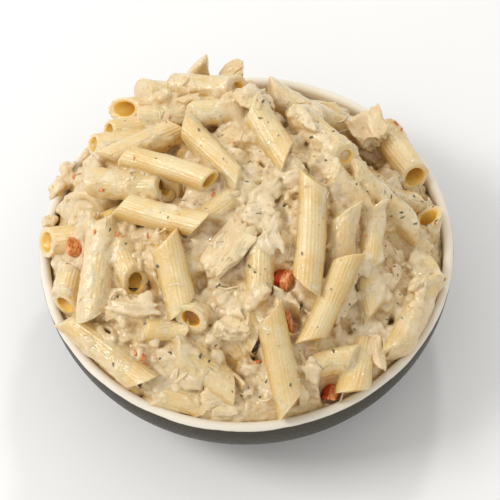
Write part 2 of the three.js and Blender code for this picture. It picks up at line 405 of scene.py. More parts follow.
# %% Bowl glaze
GLAZE_LINE = 0.0505
GLAZE_WANDER = 0.0003
finish = start_finish("two_tone_glaze", Specular_IOR_Level=0.1)
fine = add_noise(finish, 900, 2)
broad = add_noise(finish, 35, 4)
cream = mix_colours(finish, broad, (0.82, 0.76, 0.635), (0.885, 0.835, 0.725))
grey = mix_colours(finish, broad, (0.034, 0.030, 0.017), (0.052, 0.046, 0.029))
place = add_node(finish, "TexCoord").outputs["Object"]
height = add_node(finish, "SeparateXYZ", Vector=place).outputs["Z"]
wander = stretch_value(finish, add_noise(finish, 60), 0.3, 0.7, -GLAZE_WANDER, GLAZE_WANDER)
height = calculate(finish, "ADD", height, wander)
under_lip = stretch_value(finish, height, GLAZE_LINE + GLAZE_WANDER, GLAZE_LINE - GLAZE_WANDER)
dark = calculate(finish, "MULTIPLY", under_lip, read_attribute(finish, "outside"))
tone = mix_colours(finish, dark, cream, grey)
end_finish(finish, tone, (fine, 0.3, 0.45), [(broad, 0.0004), (fine, 0.00003)])

outside_layer = bowl.verts.layers.float.new("outside")
for vert in bowl.verts:
    vert[outside_layer] = float(vert.normal.xy.dot(vert.co.xy) > 0 or vert.co.z < 3)
finish_piece("stoneware_bowl", bowl, finish, ["bowl"])

# %% [markdown]
# ## Where the pasta lies
#
# Each tube that shows keeps the place that the construction model gives it. A row holds the middle
# of its axis, the heading and pitch of the axis and the spin of its slanted cuts in degrees, its
# length over the tips, its width, the slope of the cuts, which end shows its bore, and how much
# dressing clings to it, from 0, wiped bare, to 1, hidden.

# %% The rows of pasta
PENNE = [
    # left and back left
    (-35, 64, 63, 8, -10, 144, 45, 10, 1.25, -1, 0.38),
    (-39, 48, 71, 0, 5, 150, 42, 9, 0.7, -1, 0.34),
    (-46, 42, 70, 0, 5, 160, 42, 9, 0.7, -1, 0.36),
    (-41, 29, 84, 20, 8, 90, 40, 11, 0.8, 0, 0.42),
    (-29.5, 8.2, 96.5, -27, 7.5, -118, 42, 10, 0.4, 1, 0.22),
    (-45.5, 6.8, 88, -14, 8, -19, 36, 11.5, 0.5, 1, 0.46),
    (-34, -10, 90, -25, 10, -160, 45, 11, 0.8, 0, 0.24),
    (-52, 13, 74, 20, 10, 120, 38, 12, 0.8, -1, 0.55),
    (-70, -1, 61, 0, 8, 155, 38, 12, 0.8, -1, 0.26),
    # over the top
    (-12, 16, 94, -54, 0, 90, 44, 10, 0.8, 0, 0.35),
    (-22, 43, 86, 8, 0, 0, 42, 11, 0.8, 0, 0.45),
    (-7, 38, 92, 0, 0, -30, 30, 10, 0.8, 0, 0.50),
    (-17, 67, 68, 95, 65, 110, 36, 9, 0.9, 0, 0.50),
    (-5, 66, 66, 60, 68, 25, 34, 10, 0.9, 0, 0.45),
    (-13, 54, 88, 165, -10, -150, 34, 10, 0.6, -1, 0.52),
    (12, 25, 93, -62, -8, 90, 38, 12.5, 0.8, 0, 0.30),
    # left front
    (-60, -23, 76, -100, -22, 135, 50, 11.5, 0.8, -1, 0.54),
    (-49, -21, 77, -71, -8, 25, 36, 11, 1.0, 1, 0.46),
    (-29, -34, 85, -77, -25, 110, 36, 13, 0.6, 0, 0.20),
    (-73.8, -25.6, 61.5, -108, -30, -20, 22, 11, 0.8, 1, 0.44),
    (-58.3, -52.6, 59, -45, -1, -150, 51, 12, 0.8, 0, 0.42),
    # front
    (-20.3, -43.8, 71.8, 75, -46, -21, 34, 12.5, 0.55, -1, 0.47),
    (-34, -52, 72, -5, 5, 180, 22, 9, 0.6, 0, 0.40),
    (-44.5, -41.5, 71, -8, -6, 170, 31, 11, 0.8, 0, 0.50),
    (-19.6, -64.8, 63.6, -36, -22, 90, 38, 12, 0.8, 0, 0.55),
    (-30, -72, 52.5, -18, -3, 180, 30, 11, 0.9, -1, 0.50),
    (5, -34, 83, -97, -25, 90, 36, 11, 0.8, 0, 0.42),
    (11, -67, 70, -78, -35, 75, 47, 12, 0.8, 1, 0.28),
    (32, -66, 64, 12, -5, -70, 26, 10, 0.8, 0, 0.35),
    (42, -64, 57, -104, 8, 150, 36, 13, 0.7, 0, 0.26),
    # right
    (32, -45, 77, -118, -14, 105, 45, 11, 0.7, 0, 0.18),
    (26, -20, 88, -97, -15, -120, 54, 12, 0.8, -1, 0.20),
    (38, -21, 78, -100, -35, 90, 36, 12, 0.8, 0, 0.55),
    (51, -17, 74, -98, -20, 90, 34, 10, 0.8, 0, 0.60),
    (66, -44, 57, -118, 3, 90, 46, 11, 0.8, 0, 0.50),
    (73, -19.5, 56, -20, 0, 90, 18, 9, 0.8, 0, 0.56),
    (76, -3, 51, -100, -65, 120, 28, 11, 0.7, -1, 0.42),
    (66, 10, 61, 0, -30, 90, 24, 9, 0.8, 0, 0.62),
    # back right
    (44, 1, 82, -44, -32, 150, 36, 8.5, 0.8, 0, 0.50),
    (57, 2, 74, -34, -32, 90, 44, 10, 0.8, 0, 0.55),
    (34, 25, 89, -50, 0, -20, 34, 10, 0.6, 1, 0.60),
    (68.5, 35, 59, -68, 0, 0, 32, 12.5, 0.4, 1, 0.28),
    (24, 45, 82, -35, -12, 90, 34, 11, 0.8, 0, 0.62),
    (39.5, 48.5, 65, 0, -38, 90, 34, 11, 0.8, 0, 0.50),
    # half buried in the middle
    (-6, -4, 89, 42, 0, 60, 34, 11, 0.8, 0, 0.46),
    (-20, -26, 82, 40, 0, -40, 30, 11, 0.8, 0, 0.50),
    (-2, -50, 75, -60, -15, 100, 26, 10, 0.8, 0, 0.46),
    (48, -34, 67, -80, -20, 80, 32, 11, 0.8, 0, 0.50),
    # half buried down the back
    (-44, 50, 55, 120, -12, 60, 30, 11, 0.8, 0, 0.55),
    (-36, 70, 50, 25, -4, 150, 34, 11, 0.8, 0, 0.50),
    (-28, 74, 57, 170, 5, 40, 40, 11, 0.8, 0, 0.45),
    (0, 67, 58, 30, -30, -60, 40, 11, 0.8, 0, 0.50),
    (19.5, 64, 62, 100, -40, 90, 38, 11, 0.8, 0, 0.45),
    (27, 66, 52, 165, 0, 60, 40, 11, 0.8, 0, 0.50),
    (46, 52, 55, 130, 10, -90, 38, 11, 0.8, 0, 0.50),
]

# %% Tubes
BORE_SHARE = 0.64
BORE_FILL = 0.7
BORE_FILLS_FROM = 0.35


class Tube:
    """One pasta tube: its row, and the measures that its shape and place are worked out from."""

    def __init__(self, row):
        self.x, self.y, self.z, heading, self.pitch, spin = row[:6]
        length, self.width, self.slope, self.opens, self.dressed = row[6:]
        self.middle = Vector((self.x, self.y, self.z))
        self.axis, self.opening, self.side = tube_axes(heading, self.pitch, spin)
        self.radius = self.width / 2
        self.bore = self.radius * (BORE_SHARE - BORE_FILL * max(0, self.dressed - BORE_FILLS_FROM))
        self.tip = length / 2
        self.end = self.tip - self.slope * self.radius

    def outward(self, angle):
        """The direction away from the axis at an angle round it."""
        return self.opening * math.cos(angle) + self.side * math.sin(angle)

    def spot(self, along, reach, angle):
        """The place on the slanted tube of a point of the upright one."""
        along -= self.slope * reach * math.cos(angle)
        return self.middle + self.axis * along + self.outward(angle) * reach


def tube_axes(heading, pitch, spin):
    """The axis of a tube, the way its cuts open, and the direction square to both."""
    h, p, s = math.radians(heading), math.radians(pitch), math.radians(spin)
    axis = Vector((math.cos(h) * math.cos(p), math.sin(h) * math.cos(p), math.sin(p)))
    up = Vector((-math.cos(h) * math.sin(p), -math.sin(h) * math.sin(p), math.cos(p)))
    opening = up * math.cos(s) + up.cross(axis) * math.sin(s)
    return axis, opening, axis.cross(opening)


TUBES = [Tube(row) for row in PENNE]
print(len(TUBES), "pasta tubes show")

# %% [markdown]
# ## The lie of the heap
#
# The heap rises from the wall to a peak left of the middle and behind it. Around each tube the
# dressing settles to about the level of the tube, lower where the tube is bare and stands proud,
# higher where it is buried. So the surface is a blend of the plain heap and the levels of the
# tubes near the point, which leans to the lower of them. Of a tube that stands on end, only the
# mouth counts.

# %% Heap level
HEAP_RADIUS = RIM_RADIUS - WALL
PEAK = Vector((-12, 30))
PEAK_RISE = 40
PEAK_FULLNESS = 3
EDGE_DROP = 3
EDGE_TILT = 4
EDGE_LOW_SIDE = math.radians(15)
EDGE_DIP = 7
EDGE_DIP_SIDE = math.radians(-160)
EDGE_DIP_WIDTH = 0.35
# the side of each dip, how deep it is, and the cosines at which it starts and is full
WALL_DIPS = [(math.radians(170), 7.0, 0.1, 0.8), (math.radians(65), 4.0, 0.6, 0.95)]
WALL_SLOPE = 2.0
LEVEL_REACH = 7.0
LEVEL_SOFTNESS = 8.0
HEAP_WEIGHT = 0.25
STEEP = 45
MOUTH_PROUD = 3.5
SUNK_GAIN = 1.4
SUNK_START = 0.25
MOST_SUNK = 0.18
LEVEL_CUTOFF = 20


# %% Helpers for the level
def ease(value, low, high):
    """A smooth step from 0 to 1."""
    share = max(0.0, min(1.0, (value - low) / (high - low)))
    return share * share * (3 - 2 * share)


def heap_height(x, y):
    """The plain heap: a smooth dome from its peak down to the wall."""
    out = Vector((x, y)) - PEAK
    distance = out.length
    if distance < 1e-6:
        return RIM_HEIGHT + PEAK_RISE
    out /= distance
    along = PEAK.dot(out)
    to_wall = math.sqrt(along * along + HEAP_RADIUS**2 - PEAK.length_squared) - along
    share = min(distance / to_wall, 1)
    wall_point = PEAK + out * to_wall
    side = math.atan2(wall_point.y, wall_point.x)
    from_dip = math.remainder(side - EDGE_DIP_SIDE, math.tau) / EDGE_DIP_WIDTH
    edge = -EDGE_DROP - EDGE_TILT * math.cos(side - EDGE_LOW_SIDE) - EDGE_DIP * math.exp(-from_dip * from_dip)
    return RIM_HEIGHT + edge + (PEAK_RISE - edge) * (1 - share**PEAK_FULLNESS)


def wall_level(x, y):
    """The highest that the dressing stands near the wall: it slumps down to it, most at two sides."""
    side = math.atan2(y, x)
    edge = -EDGE_DROP - EDGE_TILT * math.cos(side - EDGE_LOW_SIDE)
    for middle, dip, faint, full in WALL_DIPS:
        edge -= dip * ease(math.cos(side - middle), faint, full)
    return RIM_HEIGHT + edge + WALL_SLOPE * (HEAP_RADIUS - math.hypot(x, y))


def tube_levels():
    """For each tube: its axis in plan, from start to end, and the level of the dressing at both."""
    levels = []
    for tube in TUBES:
        axis = tube.axis * (tube.tip - tube.slope * tube.radius / 2)
        if abs(tube.pitch) > STEEP:
            mouth = tube.middle + axis * math.copysign(1, axis.z) - Vector((0, 0, MOUTH_PROUD))
            levels.append((mouth, mouth))
            continue
        sunk = min(SUNK_GAIN * tube.dressed - SUNK_START, MOST_SUNK)
        middle = Vector((tube.x, tube.y, tube.z + tube.radius * sunk))
        levels.append((middle - axis, middle + axis))
    return levels


LEVELS = tube_levels()


def bed_level(x, y):
    """The level of the dressing over a point."""
    base = heap_height(x, y)
    weights, total = HEAP_WEIGHT, HEAP_WEIGHT
    for start, end in LEVELS:
        run = (end - start).xy
        share = max(0, min(1, (Vector((x, y)) - start.xy).dot(run) / max(run.length_squared, 1)))
        nearest = start.lerp(end, share)
        gap = (nearest.xy - Vector((x, y))).length_squared
        if gap > LEVEL_CUTOFF * LEVEL_REACH**2:
            continue
        weight = math.exp(-gap / (2 * LEVEL_REACH**2))
        weights += weight
        total += weight * math.exp(-(nearest.z - base) / LEVEL_SOFTNESS)
    return min(base - LEVEL_SOFTNESS * math.log(total / weights), wall_level(x, y))


print("level over the middle:", round(bed_level(0, 0), 1), "plain heap:", round(heap_height(0, 0), 1))

# %% [markdown]
# ## How the dressing clings
#
# Dressing clings in patches. Where it is thick it stands on the pasta, and in between it is a
# film or nothing. One noise, fixed in space, says how thick, so that a patch runs on from one
# tube to its neighbour. The underside of a tube, which nobody wiped, always holds more.

# %% Cling
COVER_BROAD = 10.0
COVER_FINE = 3.6
COVER_RAGGED = 1.5
FINE_OFFSET = Vector((31, 7, 11))
RAGGED_OFFSET = Vector((5, 17, 3))
BROAD_SHARE, FINE_SHARE, RAGGED_SHARE = 0.8, 0.6, 0.35
FINE_WANDER = 0.5
WANDER_SIZE = 2
HALF_DRESSED = 0.38
DRESSED_GAIN = 2.4
UNDERSIDE_GAIN = 0.3
UNDERSIDE_FROM = 0.1


def cling(point, facing_up, dressed):
    """About -1, bare, to 1, thick."""
    broad = noise.noise(point / COVER_BROAD)
    wander = FINE_WANDER * noise.noise_vector(point / WANDER_SIZE)
    fine = noise.noise(point / COVER_FINE + FINE_OFFSET + wander)
    ragged = noise.noise(point / COVER_RAGGED + RAGGED_OFFSET)
    patches = BROAD_SHARE * broad + FINE_SHARE * fine + RAGGED_SHARE * ragged
    underside = UNDERSIDE_GAIN * (UNDERSIDE_FROM - facing_up)
    return DRESSED_GAIN * (dressed - HALF_DRESSED) + patches + underside


# %% [markdown]
# ## The pasta
#
# Penne is pressed through a ridged die as a long tube and cut on the slant, which gives it its
# quill ends. So a tube is the section of its wall, with a rounded edge at each mouth, spun about
# the axis. Then each point is moved: pushed out into ridges, sheared so that both ends are cut
# parallel, flattened and bent a little, since boiled pasta is never quite straight, and thickened
# where dressing clings. Ridges fill up under the dressing, which makes them fade there, and a
# thickly dressed tube has a narrower mouth.

# %% Pasta tube
RIDGES = 24
RIDGE_DEPTH = 0.10
RIDGE_FADE = 0.75
POINTS_A_RIDGE = 4
TUBE_ROWS = 30
BORE_ROWS = 6
FILM = 0.35
FILM_LUMPS = 0.45
EDGE_ROUND = 0.75
EDGE_CLING = 0.35
FLATTEST = 0.93
MOST_BEND = 0.9
MOST_TWIST = 0.25
BEND_MIDDLE = 0.35
WOBBLE = 0.25
WOBBLE_SIZE = 7.0
LUMP_SIZE = 1.6
WEAR = 0.8
WEAR_ROUND, WEAR_ALONG = 2.5, 9
COAT_STARTS, COAT_FULL = -0.35, 0.45
TUBE_LAYERS = ("coat", "inside", "painted_flank_shade")


def tube_profile(tube):
    """The section of a tube's wall as a closed loop of (radius, height)."""
    edge = min(EDGE_ROUND, (tube.radius - tube.bore) * 0.45)
    outer, inner, end = tube.radius - edge, tube.bore + edge, tube.end - edge
    outside = [(tube.radius, -end + 2 * end * i / TUBE_ROWS) for i in range(TUBE_ROWS + 1)]
    inside = [(tube.bore, end - 2 * end * i / BORE_ROWS) for i in range(BORE_ROWS + 1)]
    far = arc((outer, end), (edge, edge), 30, 90, 2) + arc((inner, end), (edge, edge), 90, 150, 2)
    near = arc((inner, -end), (edge, edge), 210, 270, 2) + arc((outer, -end), (edge, edge), 270, 330, 2)
    return [*outside, *far, *inside, *near]


# %% Helpers for the shapes
def new_ball(detail):
    """A ball of radius 1 in a bmesh of its own."""
    ball = bmesh.new()
    bmesh.ops.create_icosphere(ball, subdivisions=detail, radius=1)
    return ball


def add_to(piece, part):
    """Moves what one bmesh holds into another."""
    mesh = bpy.data.meshes.new("part")
    part.to_mesh(mesh)
    part.free()
    piece.from_mesh(mesh)
    bpy.data.meshes.remove(mesh)


# %% One tube
def add_tube(piece, tube, seed):
    """Adds one pasta tube to a bmesh."""
    chance = random.Random(seed)
    wall = bmesh.new()
    spin_profile(wall, tube_profile(tube), RIDGES * POINTS_A_RIDGE, closed=True)
    flat = chance.uniform(FLATTEST, 1.0)
    bend = chance.uniform(-MOST_BEND, MOST_BEND)
    bend_angle = chance.uniform(0, math.tau)
    twist = chance.uniform(-MOST_TWIST, MOST_TWIST)
    coat_layer, inside_shade_layer, painted_flank_shade_layer = [wall.verts.layers.float.new(name) for name in TUBE_LAYERS]
    for vert in wall.verts:
        angle = math.atan2(vert.co.y, vert.co.x)
        reach = math.hypot(vert.co.x, vert.co.y)
        along = vert.co.z
        share = along / tube.end
        facing_up = tube.outward(angle).z
        on_outside = ease(reach, tube.bore + 0.5, tube.radius - 0.3)
        spot = tube.spot(along, reach, angle)
        at_edge = ease(abs(along), tube.end - 1.0, tube.end - 0.2)
        cover = cling(spot, facing_up * on_outside, tube.dressed) + EDGE_CLING * at_edge
        coat = ease(cover, COAT_STARTS, COAT_FULL)
        ridge = RIDGE_DEPTH * math.cos(RIDGES * (angle + twist * share)) * (1 - RIDGE_FADE * coat)
        worn = (WEAR_ROUND * math.cos(angle), WEAR_ROUND * math.sin(angle), along / WEAR_ALONG + seed)
        ridge *= 1 + WEAR * noise.noise(worn)
        wobble = WOBBLE * noise.noise(spot / WOBBLE_SIZE + Vector((seed, 0, 0)))
        lumps = coat * FILM_LUMPS * noise.noise(spot / LUMP_SIZE)
        grown = reach + on_outside * (ridge + FILM * coat + lumps) + wobble
        curve = bend * (share * share - BEND_MIDDLE)
        cut = along - tube.slope * grown * math.cos(angle)
        across = grown * math.cos(angle) * flat + curve * math.cos(bend_angle)
        sideways = grown * math.sin(angle) / flat + curve * math.sin(bend_angle)
        vert.co = tube.middle + tube.axis * cut + tube.opening * across + tube.side * sideways
        vert[coat_layer] = coat
        # painted shade: the inner face of the bore is marked to be painted deep gold, for the shade and warm
        # bounced light in it
        vert[inside_shade_layer] = 1 - ease(reach, tube.bore + 0.1, tube.bore + 0.9)
        # painted shade: the outside of a tube is marked for a deeper gold where it faces sideways or down,
        # away from the light
        vert[painted_flank_shade_layer] = on_outside * (1 - ease(facing_up, -0.1, 0.85)) * (1 - at_edge)
    bmesh.ops.recalc_face_normals(wall, faces=wall.faces)
    add_to(piece, wall)


# %% [markdown]
# ## Pasta finish
#
# Boiled durum pasta is pale yellow and a little see-through, so light sinks in and warms its edges. Painted
# shade is added to it: a deeper gold on the sides of a tube that face sideways or down, and a deep gold
# inside the bore. Dressing over it is a paler cream.

# %% Pasta finish
DRESSING_PALE = (0.84, 0.695, 0.455)
DRESSING_MID = (0.755, 0.56, 0.27)
DRESSING_DEEP_MOTTLE_AND_CREASE_SHADE = (0.55, 0.31, 0.06)
DRESSING_LOW_SHADE = (0.72, 0.45, 0.13)
PASTA_PALE = (0.82, 0.65, 0.355)
PASTA_MID = (0.765, 0.545, 0.22)
GOLD_FOR_BORE_SHADE_AND_MOTTLE = (0.85, 0.53, 0.09)
PASTA_SHADE_AND_MOTTLE_GOLD = (0.69, 0.42, 0.10)
FILM_PALE = (0.885, 0.76, 0.50)

finish = start_finish(
    "boiled_pasta",
    Subsurface_Weight=0.4,
    Subsurface_Scale=0.0025,
    Subsurface_Radius=(1.0, 0.6, 0.25),
    Coat_Weight=0.8,
    Coat_Roughness=0.08,
)
fine = add_noise(finish, 700, 3)
film = add_noise(finish, 1000, 2)
# painted shade: the sides of a tube that face away from up are laid over with a deeper gold, under the cream
# too; the same gold also mottles the film at random
painted_flank_shade = stretch_value(finish, read_attribute(finish, "painted_flank_shade"), 0, 1, 0, 0.75)
cream = mix_colours(finish, stretch_value(finish, fine, 0.3, 0.7), DRESSING_MID, DRESSING_PALE)
cream = lay_over(finish, cream, PASTA_SHADE_AND_MOTTLE_GOLD, painted_flank_shade, 0, 1, 0.5)
tone = lay_over(finish, PASTA_MID, PASTA_PALE, add_noise(finish, 90, 3), 0.35, 0.65)
tone = mix_colours(finish, painted_flank_shade, tone, PASTA_SHADE_AND_MOTTLE_GOLD)
tone = lay_over(finish, tone, cream, read_attribute(finish, "coat"), 0.05, 0.95, 0.85)
tone = lay_over(finish, tone, FILM_PALE, film, 0.55, 0.7, 0.4)
tone = lay_over(finish, tone, PASTA_SHADE_AND_MOTTLE_GOLD, film, 0.44, 0.3, 0.2)
tone = lay_over(finish, tone, PASTA_SHADE_AND_MOTTLE_GOLD, read_attribute(finish, "painted_flank_shade"), 0, 1, 0.4)
# painted shade: the inside of the bore is painted deep gold
tone = mix_colours(finish, read_attribute(finish, "inside"), tone, GOLD_FOR_BORE_SHADE_AND_MOTTLE)
relief = [(fine, 0.00022), (add_noise(finish, 1600, 2), 0.00012)]
wet = [(add_noise(finish, 480, 1), 0.0004), (add_noise(finish, 1400, 1), 0.0002)]
end_finish(finish, tone, (fine, 0.3, 0.5), relief, wet)
PASTA = finish

# %% Pasta pieces
PASTA_PIECES = {"penne_left": TUBES[:18], "penne_right": TUBES[18:37], "penne_back": TUBES[37:]}
pasta_objects = []
for name, tubes in PASTA_PIECES.items():
    piece = bmesh.new()
    for layer in TUBE_LAYERS:
        piece.verts.layers.float.new(layer)
    for tube in tubes:
        add_tube(piece, tube, seed=TUBES.index(tube))
    pasta_objects.append(finish_piece(name, piece, PASTA, ["salad"]))

# %% [markdown]
# ## The dressing
#
# The dressing is one wet skin over everything that is buried, and it creeps up the sides of the
# tubes and hangs on them in patches. Modelling that skin by hand would take days. Instead, plain
# closed shapes are laid into one another: the body of the heap, a sleeve round each tube, lumps
# and shreds of meat. A voxel remesh then grows a single skin around them, the bores that show are
# drilled out of it, and smoothing lets the dressing run into the corners.

# %% Body of the heap
BED_RADIUS = RIM_RADIUS - WALL + 0.6
BED_FLOOR = 41
BED_SEGMENTS = 200
BED_RINGS = 150
BED_SINK = 0.4
RELIEF_FADE = 6
SWELL, SWELL_WIDTH, SWELL_OFFSET = 1.8, 13, Vector((3, 5, 1))
LUMP, LUMP_WIDTH, LUMP_OFFSET = 2.0, 5.5, Vector((9, 2, 4))
HOLLOW, HOLLOW_WIDTH, HOLLOW_OFFSET = 2.6, 7.5, Vector((17, 23, 8))
HOLLOW_STARTS, HOLLOW_FULL = 0.25, 0.5


def bed_relief(x, y):
    """Swells and hollows of the heap, as wide as a tube or two."""
    spot = Vector((x, y, 0))
    swell = SWELL * noise.noise(spot / SWELL_WIDTH + SWELL_OFFSET)
    lumps = LUMP * noise.noise(spot / LUMP_WIDTH + LUMP_OFFSET)
    hollow = ease(noise.noise(spot / HOLLOW_WIDTH + HOLLOW_OFFSET), HOLLOW_STARTS, HOLLOW_FULL)
    return swell + lumps - HOLLOW * hollow


salad = bmesh.new()
bmesh.ops.create_uvsphere(salad, u_segments=BED_SEGMENTS, v_segments=BED_RINGS, radius=1)
for vert in salad.verts:
    polar = math.acos(max(-1, min(1, vert.co.z)))
    around = math.atan2(vert.co.y, vert.co.x)
    reach = BED_RADIUS * min(polar, math.pi - polar) / (math.pi / 2)
    x, y = reach * math.cos(around), reach * math.sin(around)
    if vert.co.z > -0.01:
        from_wall = 1 - (reach / BED_RADIUS) ** RELIEF_FADE
        vert.co = (x, y, bed_level(x, y) + bed_relief(x, y) * from_wall - BED_SINK)
    else:
        vert.co = (x, y, BED_FLOOR)
print("heap body:", len(salad.faces), "faces")

# %% [markdown]
# ## Sleeves
#
# A sleeve carries the dressing that clings to a tube. Where a tube shows its bore, the sleeve has
# a blind hole, shallower the more dressing it holds. An end that doesn't show its bore is rounded
# over with dressing, or, on a bare tube, set back inside it.

# %% Sleeves round the tubes
SLEEVE_THICK = 1.0
SLEEVE_STEPS = 32
SLEEVE_ROWS = 24
SLEEVE_BORE_SLACK = 0.4
SLEEVE_SHORT = 0.5
SLEEVE_WALL = 0.85
PATCH_STEP = 0.3
PATCH_STARTS, PATCH_FULL = -0.1, 0.25
PLUG_DEEP = 12
PLUG_SHALLOW = 1.6
PLUG_BARE = 2.5
MOUTH_OPEN, MOUTH_CLOSED = 0.38, 0.56
WIPED_BARE = 0.32
CAP = 0.8


def hole_depth(shows, dressed):
    """How far back the dressing stands in a mouth. Below 0 it bulges out over the end."""
    if shows:
        return PLUG_SHALLOW + PLUG_DEEP * (1 - ease(dressed, MOUTH_OPEN, MOUTH_CLOSED))
    return PLUG_BARE if dressed < WIPED_BARE else -CAP


def sleeve_end(tube, shows):
    """One end of a sleeve's profile, from the axis outwards."""
    depth = hole_depth(shows, tube.dressed)
    bore = tube.bore + SLEEVE_BORE_SLACK
    if depth > 0:
        return [(0, tube.end - depth), (bore, tube.end - depth), (bore, tube.end - SLEEVE_SHORT)]
    tip = tube.end - depth
    return [(0, tip), (tube.radius * 0.6, tip), (tube.radius * 0.9, tube.end - depth * 0.4)]


def add_sleeve(piece, tube):
    """Adds the dressing that clings to one tube."""
    near = [(radius, -height) for radius, height in sleeve_end(tube, tube.opens == -1)]
    far = reversed(sleeve_end(tube, tube.opens == 1))
    start, run = SLEEVE_SHORT - tube.end, 2 * (tube.end - SLEEVE_SHORT)
    wall = [(tube.radius, start + run * i / SLEEVE_ROWS) for i in range(SLEEVE_ROWS + 1)]
    sleeve = bmesh.new()
    spin_profile(sleeve, [*near, *wall, *far], SLEEVE_STEPS)
    for vert in sleeve.verts:
        angle = math.atan2(vert.co.y, vert.co.x)
        reach = math.hypot(vert.co.x, vert.co.y)
        outward = tube.outward(angle)
        spot = tube.spot(vert.co.z, reach, angle)
        if reach > tube.radius * SLEEVE_WALL:
            cover = cling(spot, outward.z, tube.dressed)
            patch = PATCH_STEP * ease(cover, PATCH_STARTS, PATCH_FULL)
            reach += SLEEVE_THICK * max(-1, min(1, cover)) + patch
        vert.co = tube.spot(vert.co.z, reach, angle)
    add_to(piece, sleeve)


for tube in TUBES:
    add_sleeve(salad, tube)
print("with sleeves:", len(salad.faces), "faces")

# %% [markdown]
# ## What lies in the dressing
#
# Most of the chicken is pulled into flat flakes along its fibres, and it is coated like all the
# rest. So a flake is a bundle of tapered strands side by side, and it goes under the skin too.
# Lumps of dressing and single shreds fill in between, and a few lean over the rim.

# %% Crust of the heap
def piece_tree(pieces):
    """A search tree over the faces of some pieces, in millimetres."""
    points, faces = [], []
    for piece in pieces:
        start = len(points)
        points += [vert.co / MM for vert in piece.data.vertices]
        faces += [[start + index for index in face.vertices] for face in piece.data.polygons]
    return BVHTree.FromPolygons(points, faces)


PASTA_SKIN = piece_tree(pasta_objects)
DROP_FROM = 200
DOWN = Vector((0, 0, -1))
SLOPE_STEP = 2


def crust(x, y):
    """The top of the heap before it is dressed: the place, and the way that it faces."""
    level = bed_level(x, y) + bed_relief(x, y)
    fall_x = bed_level(x - SLOPE_STEP, y) - bed_level(x + SLOPE_STEP, y)
    fall_y = bed_level(x, y - SLOPE_STEP) - bed_level(x, y + SLOPE_STEP)
    normal = Vector((fall_x, fall_y, 2 * SLOPE_STEP))
    top = PASTA_SKIN.ray_cast(Vector((x, y, DROP_FROM)), DOWN)[0]
    return Vector((x, y, level if top is None else max(level, top.z))), normal.normalized()


def lying_turn(normal, heading):
    """A turn that lays a piece on the skin, with its length along the heading."""
    along = Vector((math.cos(heading), math.sin(heading), 0))
    across = normal.cross(along).normalized()
    along = across.cross(normal).normalized()
    return Matrix((along, across, normal)).transposed()


print("crust over the middle:", [round(v, 1) for v in crust(0, 0)[0]])

# %% Where the flakes and lumps lie
PULLED = [
    # middle, length, width, thickness and heading of the flakes
    (-9, -24, 16, 9, 5.0, 55), (-4, -14, 13, 8, 4.2, 20), (2, -18, 14, 9, 4.2, -35),
    (11, -17, 12, 7, 4.0, 60), (10, -26, 13, 8, 4.0, -70), (-11, -36, 13, 7, 4.0, 80),
    (-15, -42, 10, 6, 3.6, 40), (-9, -47, 11, 7, 3.6, 70), (-5, -52, 12, 7, 4.0, 100),
    (8, -9, 11, 7, 4.0, -20), (3, -2, 10, 6, 3.6, 30), (4, 6, 9, 6, 3.6, 70), (24, 38, 12, 7, 4.0, -50),
    (30, 33, 13, 7, 4.0, -30), (20, 48, 11, 7, 3.8, -10), (10, 42, 11, 7, 5.0, -60),
    (-2, 53, 10, 6, 3.6, 10), (37, -66, 10, 6, 3.4, 40), (35, -54, 11, 6, 3.6, -60),
    (42, -43, 12, 7, 3.6, 80), (39, -57, 10, 6, 3.4, 20), (50, -55, 9, 5, 3.2, -30),
    (60, -28, 12, 7, 3.6, 60), (-24, -61, 10, 6, 3.4, 30), (-35, -60, 9, 5, 3.2, -20),
    (-14, -57, 9, 6, 3.4, 10), (-70, 36, 9, 6, 3.6, 60), (-73, 18, 9, 6, 3.4, 80),
    (-50, 15, 10, 6, 3.4, 20), (-17, 26, 9, 7, 4.4, 30), (66, -31, 9, 6, 3.6, 10),
    (46, -30, 10, 6, 3.4, -70), (22, -34, 10, 6, 3.4, -60), (-9, 50, 10, 7, 4.0, 150),
    (-40, 52, 10, 6, 4.0, 10), (44, 22, 10, 6, 3.6, -40), (44, -50, 10, 6, 4.0, 30),
    (48, -39, 11, 6, 4.0, -60), (54, -38, 9, 6, 4.0, 70), (36, -46, 10, 6, 3.8, 100),
    (62, -18, 9, 5, 3.6, -50), (70, -26, 9, 6, 4.0, 30), (57, -32, 9, 5, 3.6, 10),
    (40, -34, 9, 6, 3.6, 60), (-44, -58, 9, 6, 3.8, -40), (-38, -55, 8, 5, 3.6, 50),
    (-30, -66, 10, 6, 3.8, 0), (-37, -69, 9, 6, 3.8, -30), (-19, -70, 9, 6, 3.6, 20),
    (-3, -74, 9, 6, 3.4, -30), (-1, -67, 9, 6, 3.6, 60), (18, -77, 9, 6, 3.4, 20),
    (22, -69, 8, 6, 3.4, -60), (-66, -4, 8, 6, 3.8, 20), (-61, 22, 9, 6, 3.8, 50),
    (-60, -12, 8, 5, 3.6, -70), (-78, 22, 9, 6, 4.0, 90), (-66, 43, 9, 6, 4.0, 30),
    (-40, -42, 9, 6, 3.8, -60), (-50, -46, 8, 6, 3.8, 10), (-45, -42, 22, 9, 6.5, -15),
    (-32, -60, 14, 9, 6.0, 20), (-10, -44, 14, 10, 7.0, 30), (38, -41, 13, 8, 5.0, 50),
    (49, -50, 12, 7, 5.0, -60), (-62, 21, 12, 8, 5.0, 40), (-25, -68, 16, 8, 5.0, -10),
    (5, -43, 11, 7, 5.0, 60), (4, -14, 14, 9, 5.5, -10), (10, -3, 13, 8, 5.0, 60),
]
PULLED_LIFT = 0.3
MOST_PROUD = 3.0
MORE_FLAKES = 110
FLAKE_SIZES = ((6, 12), (4, 7), (2.5, 4.2))
LUMPS = 130
LUMP_SIZES = (1.2, 3.0)
SHREDS = 90
SHRED_SIZES, SHRED_LENGTHS = (0.7, 1.1), (2.5, 5.5)
STRAND_WIDTH = 2.2
